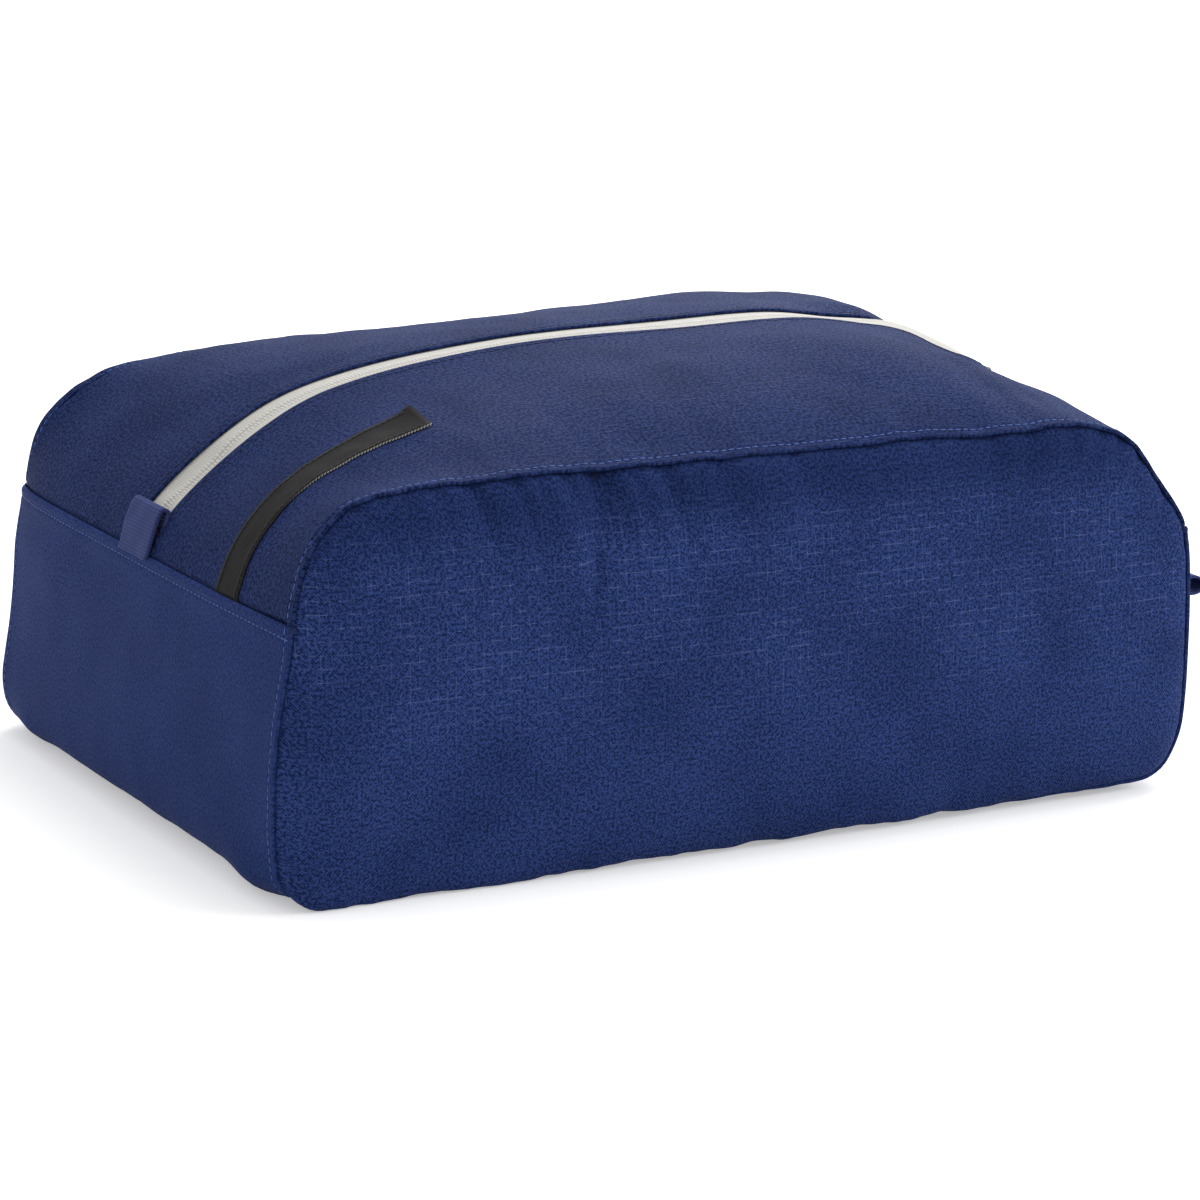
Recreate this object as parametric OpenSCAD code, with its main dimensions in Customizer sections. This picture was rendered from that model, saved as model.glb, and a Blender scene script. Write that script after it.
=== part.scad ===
// Zip-top packing cube: a soft box with a domed top, opened by one zip that runs from end to end.
// +X runs along the zip, +Z is up, and the origin is the middle of the base, on the ground.

/* [Body] */
// Length over the end walls
bag_l = 321; // [280:1:400]
// Width over the seams of the side panels
bag_w = 227; // [180:1:300]
// Height of a side panel, up to its top seam
side_h = 124.5; // [105:0.5:160]
// How far the end walls' top seams lie below the side panels' top seams
end_seam_drop = 37; // [32:1:60]
// Nominal thickness of the padded-out fabric
fabric_t = 1.5; // [1:0.1:2.5]
// Radius of a side panel's upper corners
top_corner_r = 30; // [15:1:32]
// Radius of a side panel's lower corners
base_corner_r = 20; // [8:1:35]
// How far the middle of a side panel swells out past its seams
side_swell = 10.5; // [2:0.5:14]
// Distance in from its seam over which most of that swell comes
swell_reach = 13; // [8:1:25]
// How far the left end wall swells out
left_swell = 4; // [1:0.5:8]
// How far the right end wall swells out
right_swell = 2; // [1:0.5:6]
// Gap between a side panel and the flap that folds along it
seam_gap = 0.4; // [0.3:0.1:1]

/* [Crown] */
// How far the zip's crown stands above the side panels' top seams
crown_over = 21.5; // [10:0.5:60]
// How far the crown lies towards the right end
crown_x = 24; // [-30:1:40]
// How far below the end seams the crown's curve would stand upright
spring_drop = 27; // [16:1:40]
// Roundness exponent of the left shoulder
left_fullness = 2.15; // [2:0.05:4]
// Roundness exponent of the right shoulder
right_fullness = 3.8; // [2.6:0.1:4.4]
// Roundness exponent of the top between its side seams and the zip
dome_fullness = 3.2; // [2:0.1:5]

/* [Mouth] */
// Left end of the stretch that folds open
mouth_left = -112; // [-116:1:-95]
// Right end of the stretch that folds open
mouth_right = 105; // [90:1:110]
// Running gap at each end of that stretch
mouth_gap = 0.4; // [0.3:0.1:1]

/* [Zip] */
// Width of tape that shows between the two fabric edges
strip_w = 16; // [12:0.5:22]
// How far each tape runs on under the fabric
tape_lap = 6; // [4:0.5:10]
// Thickness of a tape
tape_t = 0.8; // [0.5:0.1:1.2]
// Width of both coils when they are closed
coil_w = 4.8; // [4:0.2:7]
// Height of the coils under the tapes
coil_h = 2.2; // [1.6:0.1:3]
// Gap between the two halves of the closed zip
zip_gap = 0.3; // [0.2:0.05:0.5]
// How far each half stands aside past the slider
part_gap = 1.4; // [1.3:0.1:2.5]

/* [Slider] */
// Place of the parked slider along the right end stretch of the zip
slider_at = 0.68; // [0.6:0.01:0.76]
// Length of the slider
slider_l = 11; // [9:0.5:14]
// Thickness of the slider's side flanges
flange_t = 0.9; // [0.6:0.1:1.5]
// Thickness of the slider's plates
plate_t = 1.3; // [1:0.1:1.8]
// Clearance of the slider round the tapes and the coils
slider_gap = 0.3; // [0.2:0.05:0.4]
// Radius of the post that parts the two coils
post_r = 1; // [0.8:0.05:1.1]
// How far the post stands from the slider's middle
post_x = 3; // [2.8:0.1:3.4]
// Length of the bridge that holds the pull
bridge_l = 6.8; // [6:0.2:8]
// Width of the bridge
bridge_w = 2.4; // [2:0.1:3]
// Headroom under the bridge
bridge_h = 2.6; // [2.4:0.1:3.2]
// Thickness of the bridge
bridge_t = 1; // [0.8:0.1:1.4]

/* [Pull] */
// Length of the pull from its cross bar to its tip
pull_l = 25; // [18:0.5:34]
// Width of the pull's tab
pull_w = 8; // [7:0.2:10]
// Thickness of the pull's tab
pull_t = 1.4; // [1.2:0.1:1.6]
// Radius of the pull's cross bar
bar_r = 0.7; // [0.6:0.05:0.9]
// Angle by which the resting pull drops towards the end wall
pull_drop = 9; // [0:1:10]
// Radius of the hole near the pull's tip
pull_hole_r = 1.6; // [1:0.1:2.2]

/* [Loops and label] */
// Width of the webbing of the left end loop
loop_w = 24; // [15:1:30]
// Height of the left end loop above its seam
loop_h = 14; // [10:0.5:24]
// Thickness of the webbing
webbing_t = 1.3; // [0.8:0.1:1.8]
// Space inside the folded left end loop
loop_space = 1.4; // [0.6:0.1:2.5]
// Angle by which the left end loop leans in over the zip
loop_lean = 20; // [10:1:24]
// Width of the webbing of the right end tab
tab_w = 10; // [6:1:16]
// How far the right end tab stands out
tab_l = 12; // [8:0.5:18]
// Thickness of the right end tab at its fullest place
tab_h = 5.5; // [4.5:0.1:8]
// Thickness of the ribbon of the right end tab
ribbon_t = 0.9; // [0.6:0.1:1.2]
// Height of the right end tab above the base
tab_z = 65.5; // [30:0.5:72]
// Distance of the right end tab from the front seam
tab_inset = 4; // [2:0.5:30]
// Width of the blank woven label
label_w = 16; // [8:0.5:20]
// Place of the label across the front top panel, as a share of the way to the zip
label_at = 0.4; // [0.3:0.01:0.6]
// Right end of the label
label_right = -88; // [-100:1:-60]
// Thickness of the label
label_t = 0.5; // [0.3:0.1:1]
// Gap between the label and the panel under it
label_gap = 0.3; // [0.2:0.05:0.6]

/* [Inner bindings] */
// Width of the tape that binds the seams inside
binding_w = 9; // [6:0.5:14]
// Thickness of the binding tape
binding_t = 1; // [0.6:0.1:1.6]
// Drop of the side bindings below the top seam
binding_drop = 2.5; // [2:0.1:5]

/* [Hidden] */

navy = [0.13, 0.2, 0.44];
navy_top = [0.18, 0.24, 0.47];
zip_grey = [0.84, 0.83, 0.8];
coil_grey = [0.74, 0.73, 0.71];
metal = [0.62, 0.63, 0.66];
webbing_blue = [0.27, 0.3, 0.52];
label_black = [0.09, 0.09, 0.09];
binding_navy = [0.08, 0.12, 0.27];

front = -1;
rear = 1;
end_seam_h = side_h - end_seam_drop;
crown_h = side_h + crown_over;
spring_h = end_seam_h - spring_drop;
half_l = bag_l / 2;
half_w = bag_w / 2;
hinge_y = half_w - fabric_t - seam_gap;
strip_half = strip_w / 2;
crown_rise = crown_h - spring_h;
face_off = 0.05;
tape_top = fabric_t + face_off;
tape_base = tape_top + tape_t;
coil_top = tape_base + face_off;
coil_base = coil_top + coil_h;
end_steps = 11;
mouth_steps = 14;
dome_steps = 8;
label_steps = 3;
row_crowding = 1.6;
corner_steps = 10;
wall_steps = 8;
hem_h = 4;
swell_rings = [0, 1.5, 4, 8, 13, 19, 28, 42, 60];

// How far out, as a share of its reach, a quarter curve of the crown comes down to the end seam.
function seam_share(round_n) =
    pow(1 - pow((end_seam_h - spring_h) / crown_rise, round_n), 1 / round_n);
left_reach = (half_l + crown_x) / seam_share(left_fullness);
right_reach = (half_l - crown_x) / seam_share(right_fullness);

// The crown's height over the point x, as two quarter curves that meet at crown_x.
function crown_z(x) =
    let (reach = x < crown_x ? left_reach : right_reach)
    let (round_n = x < crown_x ? left_fullness : right_fullness)
    spring_h + crown_rise * pow(1 - pow(abs(x - crown_x) / reach, round_n), 1 / round_n);

// A point of the zip line on an end stretch: t is 0 at the end seam and 1 at the mouth.
function shoulder_point(t, mouth_x, reach, round_n, side) =
    let (run0 = seam_share(round_n))
    let (run1 = abs(mouth_x - crown_x) / reach)
    let (turn0 = acos(pow(run0, round_n / 2)))
    let (turn1 = acos(pow(run1, round_n / 2)))
    let (turn = turn0 + (turn1 - turn0) * t)
    [
        crown_x + side * reach * pow(cos(turn), 2 / round_n),
        spring_h + crown_rise * pow(sin(turn), 2 / round_n)
    ];

// A point of a side panel's outline on an end stretch, from the end seam to the mouth.
function corner_point(t, mouth_x, side) =
    let (rise = side_h - top_corner_r - end_seam_h)
    let (bend = PI / 2 * top_corner_r)
    let (flat = half_l - top_corner_r - abs(mouth_x))
    let (way = t * (rise + bend + flat))
    let (turn = min(90, max(0, (way - rise) / top_corner_r * 180 / PI)))
    [
        side * (half_l - top_corner_r * (1 - cos(turn)) - max(0, way - rise - bend)),
        end_seam_h + min(way, rise) + top_corner_r * sin(turn)
    ];

// The two rims at station s: 0 to 1 left shoulder, 1 to 2 mouth, 2 to 3 right shoulder.
function mouth_x(s) = mouth_left + (mouth_right - mouth_left) * (s - 1);
function zip_rim(s) =
    s < 1 ? shoulder_point(s, mouth_left, left_reach, left_fullness, -1)
    : s > 2 ? shoulder_point(3 - s, mouth_right, right_reach, right_fullness, 1)
    : [mouth_x(s), crown_z(mouth_x(s))];
function seam_rim(s) =
    s < 1 ? corner_point(s, mouth_left, -1)
    : s > 2 ? corner_point(3 - s, mouth_right, 1)
    : [mouth_x(s), side_h];

// The top's outer face at station s and distance y from the zip's plane.
function dome(share) = 1 - pow(min(1, share), dome_fullness);
function top_point(s, y) =
    let (rim = seam_rim(s))
    let (mid = zip_rim(s))
    let (xz = rim + (mid - rim) * dome(abs(y) / hinge_y))
    [xz[0], y, xz[1]];

function unit(v) = v / norm(v);
function top_normal(s, y) =
    let (ds = 0.004)
    let (dy = 0.4)
    let (edge = hinge_y - dy)
    let (yy = max(-edge, min(edge, y)))
    let (s0 = max(0, s - ds))
    let (s1 = min(3, s + ds))
    let (along = top_point(s1, yy) - top_point(s0, yy))
    let (across = top_point(s, yy + dy) - top_point(s, yy - dy))
    unit(cross(along, across));

// The same, kept square to a cut across the mouth or to an end seam.
function trimmed_normal(s, y) =
    let (n = top_normal(s, y))
    (s == 0 || s == 3) ? unit([n[0], n[1], 0])
    : (s == 1 || s == 2) ? unit([0, n[1], n[2]])
    : n;
function sunk_point(s, y, depth) = top_point(s, y) - depth * trimmed_normal(s, y);

// A closed skin over a grid: top is the outer grid, low the inner one, both rows of points.
module skin(top, low) {
    rows = len(top);
    cols = len(top[0]);
    count = rows * cols;
    points = concat([for (row = top) for (p = row) p], [for (row = low) for (p = row) p]);
    faces = concat(
        [for (i = [0:rows - 2]) for (j = [0:cols - 2])
            for (f = quad(i * cols + j, i * cols + j + 1, (i + 1) * cols + j + 1, (i + 1) * cols + j)) f],
        [for (i = [0:rows - 2]) for (j = [0:cols - 2])
            for (f = quad((i + 1) * cols + j, (i + 1) * cols + j + 1, i * cols + j + 1, i * cols + j))
                [for (k = f) k + count]],
        [for (j = [0:cols - 2]) for (f = rim_quad(j + 1, j, count)) f],
        [for (j = [0:cols - 2])
            for (f = rim_quad((rows - 1) * cols + j, (rows - 1) * cols + j + 1, count)) f],
        [for (i = [0:rows - 2]) for (f = rim_quad(i * cols, (i + 1) * cols, count)) f],
        [for (i = [0:rows - 2])
            for (f = rim_quad((i + 2) * cols - 1, (i + 1) * cols - 1, count)) f]
    );
    polyhedron(points = points, faces = faces);
}
function quad(a, b, c, d) = [[a, b, c], [a, c, d]];
function rim_quad(a, b, count) = quad(a, b, b + count, a + count);

// A patch of the top between two depths; rows_at(s) gives the places across at station s.
module patch(stations, rows_at, depth0, depth1) {
    skin(
        [for (s = stations) [for (y = rows_at(s)) sunk_point(s, y, depth0)]],
        [for (s = stations) [for (y = rows_at(s)) sunk_point(s, y, depth1)]]
    );
}
function spread(a, b, steps) = [for (i = [0:steps]) a + (b - a) * i / steps];
function left_stations() = spread(0, 1, end_steps);
// The halves of the zip part over a short stretch under the slider, between two stations.
slider_s = 2 + slider_at;
part_s = 0.0175;
part_from = slider_s - part_s;
part_to = slider_s + part_s;
before_steps = 7;
past_steps = 6;
function right_stations() =
    concat(spread(2, part_from, before_steps), spread(part_to, 3, past_steps));
function mouth_span() = mouth_right - mouth_left;
function mouth_stations() = spread(1 + mouth_gap / mouth_span(), 2 - mouth_gap / mouth_span(), mouth_steps);

// Rows from a side seam to the zip strip's edge, closer together where the dome is steep.
function panel_rows(s, side) =
    let (edge = hinge_y)
    let (rows = [for (i = [0:dome_steps]) edge - (edge - strip_half) * pow(i / dome_steps, row_crowding)])
    side < 0 ? [for (y = rows) -y] : [for (i = [0:dome_steps]) rows[dome_steps - i]];

module top_stretch(stations, side) {
    color(navy_top) patch(stations, function (s) panel_rows(s, side), 0, fabric_t);
}

// How far a half of the zip stands off the middle: past the slider the halves part.
function half_gap(s) = zip_gap / 2 + part_gap * min(1, max(0, (s - part_from) / (part_to - part_from)));

function band(side, y0, y1) = side < 0 ? [-y1, -y0] : [y0, y1];
module tape(stations, side) {
    color(zip_grey) patch(
        stations, function (s) band(side, half_gap(s), strip_half + tape_lap), tape_top, tape_base
    );
}
module coil(stations, side) {
    color(coil_grey) patch(
        stations, function (s) band(side, half_gap(s), half_gap(s) + (coil_w - zip_gap) / 2),
        coil_top, coil_base
    );
}

// How far an end wall swells out at the height z, between its lower corner and its hem.
function wall_swell(side, z) =
    let (up = min(1, max(0, (z - base_corner_r) / (end_seam_h - hem_h - base_corner_r))))
    (side < 0 ? left_swell : right_swell) * sin(180 * up);

// A side panel's outline, drawn in by inset: round corners, and end walls that swell.
function corner(x, z, r, from) =
    [for (a = spread(from, from + 90, corner_steps)) [x + r * cos(a), z + r * sin(a)]];
function wall(side, inset, low, high) =
    [for (i = [1:wall_steps - 1])
        let (up = i / wall_steps)
        let (z = base_corner_r + (side_h - top_corner_r - base_corner_r) * up)
        [side * (half_l - inset + wall_swell(side, z)), low + (high - low) * up]];
function reversed(list) = [for (i = [len(list) - 1:-1:0]) list[i]];
function outline(inset) =
    let (r0 = max(1, base_corner_r - inset))
    let (r1 = max(1, top_corner_r - inset))
    let (x = half_l - inset)
    let (low = inset + r0)
    let (high = side_h - inset - r1)
    concat(
        corner(x - r0, low, r0, -90), wall(1, inset, low, high), corner(x - r1, high, r1, 0),
        corner(r1 - x, high, r1, 90), reversed(wall(-1, inset, low, high)), corner(r0 - x, low, r0, 180)
    );
module side_outline(inset) {
    polygon(outline(inset));
}

// Stands a drawing up in the X-Z plane and gives it a depth, from y0 to y1.
module upright(y0, y1) {
    translate([0, y1, 0]) rotate([90, 0, 0]) linear_extrude(y1 - y0) children();
}

// The rear side panel's face at a distance in from its seam; the front one mirrors it.
function swell_y(inset) = half_w + side_swell * (1 - exp(-inset / swell_reach));
function swell_ring(inset, depth) =
    [for (p = outline(inset)) [p[0], swell_y(inset) - depth, p[1]]];

// A side panel: rings of points from the seam inwards, on the outer face and on the inner one.
module swelled_panel() {
    n = len(outline(0));
    rings = len(swell_rings);
    inner = n * rings;
    last = n * (rings - 1);
    points = [for (depth = [0, fabric_t]) for (inset = swell_rings) for (p = swell_ring(inset, depth)) p];
    faces = concat(
        [for (k = [0:rings - 2]) for (i = [0:n - 1]) let (a = n * k + i) let (b = n * k + (i + 1) % n)
            for (f = quad(a, b, b + n, a + n)) f],
        [for (k = [0:rings - 2]) for (i = [0:n - 1])
            let (a = inner + n * k + i) let (b = inner + n * k + (i + 1) % n)
            for (f = quad(a + n, b + n, b, a)) f],
        [for (i = [0:n - 1]) let (b = (i + 1) % n) for (f = quad(b, i, i + inner, b + inner)) f],
        [[for (i = [0:n - 1]) last + i], [for (i = [n - 1:-1:0]) inner + last + i]]
    );
    polyhedron(points = points, faces = faces);
}
module side_panel(side) {
    color(navy) if (side < 0) mirror([0, 1, 0]) swelled_panel(); else swelled_panel();
}

// The one strip that makes both end walls and the bottom.
module base_gusset() {
    color(navy) upright(fabric_t - half_w, half_w - fabric_t) difference() {
        intersection() {
            side_outline(0);
            translate([-bag_l, 0]) square([2 * bag_l, end_seam_h]);
        }
        side_outline(fabric_t);
    }
}
module front_side_panel() { side_panel(front); }
module rear_side_panel() { side_panel(rear); }
module front_top_panel() { top_stretch(mouth_stations(), front); }
module rear_top_panel() { top_stretch(mouth_stations(), rear); }
module front_left_shoulder() { top_stretch(left_stations(), front); }
module front_right_shoulder() { top_stretch(right_stations(), front); }
module rear_left_shoulder() { top_stretch(left_stations(), rear); }
module rear_right_shoulder() { top_stretch(right_stations(), rear); }
module front_zip_tape() { tape(mouth_stations(), front); }
module rear_zip_tape() { tape(mouth_stations(), rear); }
module front_zip_coil() { coil(mouth_stations(), front); }
module rear_zip_coil() { coil(mouth_stations(), rear); }
module left_tape_ends() { for (side = [front, rear]) tape(left_stations(), side); }
module right_tape_ends() { for (side = [front, rear]) tape(right_stations(), side); }
module left_coil_ends() { for (side = [front, rear]) coil(left_stations(), side); }
module right_coil_ends() { for (side = [front, rear]) coil(right_stations(), side); }

// The slider's own frame: origin on the zip line, x towards the right end seam, z out of the bag.
slider_step = 0.002;
function zip_way(s) = zip_rim(s + slider_step) - zip_rim(s - slider_step);
function zip_slope(s) = atan2(-zip_way(s)[1], zip_way(s)[0]);
slider_slope = zip_slope(slider_s);
slider_reach = slider_l * slider_step / norm(zip_way(slider_s));
slider_turn = zip_slope(slider_s + slider_reach) - zip_slope(slider_s - slider_reach);
bend_room = slider_l * slider_turn * PI / 180 / 8;
module at_slider() {
    p = zip_rim(slider_s);
    translate([p[0], 0, p[1]]) rotate([0, slider_slope, 0]) children();
}

// A plate with round corners, flat on its own ground.
module round_plate(l, w, t, r) {
    translate([r - l / 2, -w / 2, 0]) cube([l - 2 * r, w, t]);
    translate([-l / 2, r - w / 2, 0]) cube([l, w - 2 * r, t]);
    for (sx = [-1, 1]) for (sy = [-1, 1])
        translate([sx * (l / 2 - r), sy * (w / 2 - r), 0]) cylinder(r = r, h = t, $fn = 40);
}

upper_face = slider_gap + plate_t - tape_top;
lower_face = -(coil_base + slider_gap + bend_room);
flange_y = part_gap + coil_w / 2 + slider_gap;
flange_h = coil_h - slider_gap / 2;
slider_w = 2 * (flange_y + flange_t);
bar_x = 1;
bar_raise = 0.3;
bar_z = upper_face + bridge_h / 2 + bar_raise;
corner_r = 2;

module zip_slider() {
    color(metal) at_slider() {
        translate([0, 0, upper_face - plate_t]) round_plate(slider_l, slider_w, plate_t, corner_r);
        translate([0, 0, lower_face - plate_t]) round_plate(slider_l, slider_w, plate_t, corner_r);
        for (side = [-1, 1])
            translate([0, side * (flange_y + flange_t / 2), lower_face + flange_h / 2 - face_off])
                cube([slider_l - 2 * corner_r, flange_t, flange_h], center = true);
        translate([post_x, 0, lower_face - face_off])
            cylinder(r = post_r, h = upper_face - plate_t - lower_face + 2 * face_off, $fn = 40);
        translate([-bridge_l / 2, -bridge_w / 2, upper_face - face_off]) difference() {
            cube([bridge_l, bridge_w, bridge_h + bridge_t + face_off]);
            translate([bridge_t, -1, -1])
                cube([bridge_l - 2 * bridge_t, bridge_w + 2, bridge_h + face_off + 1]);
        }
    }
}

// The pull: a cross bar under the bridge, two arms beside it, and a tab with a hole.
arm_gap = 0.4;
arm_w = 1;
arm_l = slider_l / 2 + 1;
module slider_pull() {
    arm_y = bridge_w / 2 + arm_gap;
    color(metal) at_slider() translate([bar_x, 0, bar_z]) rotate([0, pull_drop, 0]) {
        rotate([90, 0, 0]) cylinder(r = bar_r, h = 2 * (arm_y + arm_w), center = true, $fn = 40);
        for (side = [-1, 1])
            translate([(arm_l + 1) / 2, side * (arm_y + arm_w / 2), 0])
                cube([arm_l + 1, arm_w, pull_t], center = true);
        translate([(arm_l + pull_l) / 2, 0, -pull_t / 2]) difference() {
            round_plate(pull_l - arm_l, pull_w, pull_t, corner_r);
            translate([(pull_l - arm_l) / 2 - 2 * pull_hole_r, 0, -1])
                cylinder(r = pull_hole_r, h = pull_t + 2, $fn = 40);
        }
    }
}

// The left end loop: webbing folded over at its top, turning at its sewn root.
loop_root = 2;
loop_depth = loop_space + 2 * webbing_t;
loop_x = half_l + face_off + loop_depth / 2 / cos(loop_lean) + loop_root * tan(loop_lean);
loop_len = loop_h + loop_root - loop_depth / 2;
module left_end_loop() {
    color(webbing_blue)
        translate([-loop_x, 0, end_seam_h - loop_root]) rotate([0, loop_lean, 0])
            rotate([90, 0, 0]) linear_extrude(loop_w, center = true) difference() {
                union() {
                    circle(d = loop_depth, $fn = 40);
                    translate([-loop_depth / 2, 0]) square([loop_depth, loop_len]);
                    translate([0, loop_len]) circle(d = loop_depth, $fn = 40);
                }
                translate([-loop_space / 2, loop_root]) square([loop_space, loop_len - loop_root]);
                translate([0, loop_len]) circle(d = loop_space, $fn = 40);
            }
}

// The right end tab: ribbon folded to an eye that comes to a point, turning at its sewn root.
tab_y = hinge_y - tab_inset;
tab_x = half_l + wall_swell(1, tab_z) + ribbon_t + face_off;
module tab_eye(l, h) {
    r = (l * l + h * h) / (4 * h);
    intersection() {
        translate([0, h / 2 - r]) circle(r = r, $fn = 120);
        translate([0, r - h / 2]) circle(r = r, $fn = 120);
    }
}
module right_end_tab() {
    color(webbing_blue) translate([tab_x, tab_w - tab_y, tab_z])
        rotate([90, 0, 0]) linear_extrude(tab_w) difference() {
            union() {
                circle(r = ribbon_t, $fn = 40);
                translate([0, -ribbon_t]) square([tab_l / 4, 2 * ribbon_t]);
                translate([tab_l / 2, 0]) tab_eye(tab_l, tab_h);
            }
            translate([tab_l / 2, 0]) tab_eye(tab_l - 4 * ribbon_t, tab_h - 2 * ribbon_t);
        }
}

// The blank label, from the left end seam up over the shoulder onto the front flap.
label_start_s = 0.02;
label_cut_s = 0.03;
label_end_s = 1 + (label_right - mouth_left) / mouth_span();
module label_strip() {
    y = hinge_y * (1 - label_at);
    stations = concat(
        spread(label_start_s, 1 - label_cut_s, end_steps),
        spread(1 + label_cut_s, label_end_s, label_steps)
    );
    color(label_black) patch(
        stations, function (s) spread(-y - label_w / 2, -y + label_w / 2, label_steps),
        -label_gap - label_t, -label_gap
    );
}

// Tape that binds the raw edges inside: round each side panel and along each end seam.
module side_binding(side) {
    outer = fabric_t + face_off;
    y = side * (half_w - outer - binding_t / 2);
    color(binding_navy) upright(y - binding_t / 2, y + binding_t / 2) difference() {
        intersection() {
            side_outline(outer);
            translate([-bag_l, 0]) square([2 * bag_l, side_h - binding_drop]);
        }
        side_outline(outer + binding_w);
    }
}
module end_binding(side) {
    x = half_l - fabric_t - face_off - binding_t / 2;
    width = 2 * (hinge_y - binding_w);
    color(binding_navy) translate([side * x, 0, end_seam_h - 2 * face_off - binding_w / 2])
        cube([binding_t, width, binding_w], center = true);
}
module front_seam_binding() { side_binding(front); }
module rear_seam_binding() { side_binding(rear); }
module left_seam_binding() { end_binding(-1); }
module right_seam_binding() { end_binding(1); }

base_gusset();
front_side_panel();
rear_side_panel();
front_top_panel();
rear_top_panel();
front_left_shoulder();
front_right_shoulder();
rear_left_shoulder();
rear_right_shoulder();
front_zip_tape();
rear_zip_tape();
front_zip_coil();
rear_zip_coil();
left_tape_ends();
right_tape_ends();
left_coil_ends();
right_coil_ends();
zip_slider();
slider_pull();
left_end_loop();
right_end_tab();
label_strip();
front_seam_binding();
rear_seam_binding();
left_seam_binding();
right_seam_binding();
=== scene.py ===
import bpy
import math
import numpy as np
from mathutils import Matrix, Vector, kdtree, noise


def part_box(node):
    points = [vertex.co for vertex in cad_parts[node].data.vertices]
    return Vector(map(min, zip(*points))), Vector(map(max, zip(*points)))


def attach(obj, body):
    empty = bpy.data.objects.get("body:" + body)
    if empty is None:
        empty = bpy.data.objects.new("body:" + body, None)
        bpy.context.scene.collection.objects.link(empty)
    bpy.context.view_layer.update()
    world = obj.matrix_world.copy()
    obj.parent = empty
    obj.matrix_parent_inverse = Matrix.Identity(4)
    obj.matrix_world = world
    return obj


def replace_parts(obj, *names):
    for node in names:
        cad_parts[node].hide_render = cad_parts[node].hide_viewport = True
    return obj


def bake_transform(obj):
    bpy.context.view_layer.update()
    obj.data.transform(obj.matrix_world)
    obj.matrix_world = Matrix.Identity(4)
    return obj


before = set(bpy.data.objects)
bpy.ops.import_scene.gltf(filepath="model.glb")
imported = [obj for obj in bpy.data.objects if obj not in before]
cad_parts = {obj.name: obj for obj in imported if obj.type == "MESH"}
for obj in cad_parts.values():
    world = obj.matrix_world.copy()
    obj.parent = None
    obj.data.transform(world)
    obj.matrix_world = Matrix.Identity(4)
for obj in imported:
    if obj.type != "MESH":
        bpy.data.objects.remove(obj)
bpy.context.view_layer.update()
mm = 0.001
print("frame loaded")

# Sizes of the sewn body in millimetres, the same as the solids have.
cube = {
    "length": 321.0,
    "sideHeight": 124.5,
    "endSeamHeight": 87.5,
    "crownHeight": 146.0,
    "crownX": 24.0,
    "springHeight": 60.5,
    "leftFullness": 2.15,
    "rightFullness": 3.8,
    "mouthLeft": -112.0,
    "mouthRight": 105.0,
    "sliderStation": 2.68,
}
# How the filled cloth departs from the plain solids; -1 is the front side and 1 the rear. Fullness is by
# station, zipRise by place, height and width, puffs by place, height, length, and nearest and farthest reach.
cloth = {
    "fullness": {
        -1: ((0, 3.6), (0.3, 3.0), (0.7, 2.3), (1.25, 2.2), (1.5, 2.8), (1.9, 3.1), (2.1, 1.9),
             (2.45, 1.5), (3, 1.5)),
        1: ((0, 7), (0.8, 6), (1.1, 4.6), (1.24, 2.9), (1.36, 2.35), (1.55, 2.5), (1.68, 2.8), (1.8, 3.1),
            (1.93, 3.6), (3, 3.8)),
    },
    "thickness": 0.7,
    "zipRise": ((-113, 3.0, 24), (-84, 2.0, 30), (15, -1.4, 40), (97, -2.1, 18), (130, -3.9, 15)),
    "lipRise": ((-118, 0), (-100, 0.6), (-40, 0.7), (0, 0.2), (30, -0.25), (65, -0.25), (90, 0),
                (112, -1.2), (135, -1.4), (150, 0)),
    "puffs": {-1: (127, -2.5, 21, 6, 52), 1: (112, 3.0, 22, 9, 60)},
    "endDrop": 3.15,
    "endDropReach": 0.14,
    "seamY": 112.4,
    "seamBow": 2.5,
    "seamWave": 0.9,
    "gridStep": 1.75,
}

halfLength = cube["length"] / 2
crownRise = cube["crownHeight"] - cube["springHeight"]
mouthSpan = cube["mouthRight"] - cube["mouthLeft"]
middleStation = 1 - cube["mouthLeft"] / mouthSpan  # where x is 0


def hump(x, place, width):
    return np.exp(-((x - place) / width) ** 2)


def rising(x, reach):
    return 1 - np.exp(-x / reach)


def lookUp(x, table):
    places, values = np.array(table).T
    return np.interp(x, places, values)


# The rows of a table at distances along it; way holds the distance of each row.
def sample(at, way, table):
    return np.stack([np.interp(at, way, column) for column in table.T], -1)


def pairUp(u, v):
    return np.stack(np.broadcast_arrays(u, v), -1)


def unit(v):
    return v / np.maximum(np.linalg.norm(v, axis=-1, keepdims=True), 1e-9)


def lengthAlong(points):
    return np.concatenate([[0], np.cumsum(np.linalg.norm(np.diff(points, axis=0), axis=1))])


def rowWidths(grid):
    return np.array([lengthAlong(row)[-1] for row in grid])[:, None]


def seamShare(power):
    low = (cube["endSeamHeight"] - cube["springHeight"]) / crownRise
    return (1 - low ** power) ** (1 / power)


# For each shoulder: where the mouth ends, how full it is, and how far its curve would reach from the crown.
shoulders = {}
for side, end in ((-1, "Left"), (1, "Right")):
    power = cube[end.lower() + "Fullness"]
    shoulders[side] = (cube["mouth" + end], power, (halfLength - side * cube["crownX"]) / seamShare(power))


def shoulderLine(t, side):
    mouthX, power, reach = shoulders[side]
    turn0 = math.acos(seamShare(power) ** (power / 2))
    turn1 = math.acos((abs(mouthX - cube["crownX"]) / reach) ** (power / 2))
    turn = turn0 + (turn1 - turn0) * t
    x = cube["crownX"] + side * reach * np.cos(turn) ** (2 / power)
    return x, cube["springHeight"] + crownRise * np.sin(turn) ** (2 / power)


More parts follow.
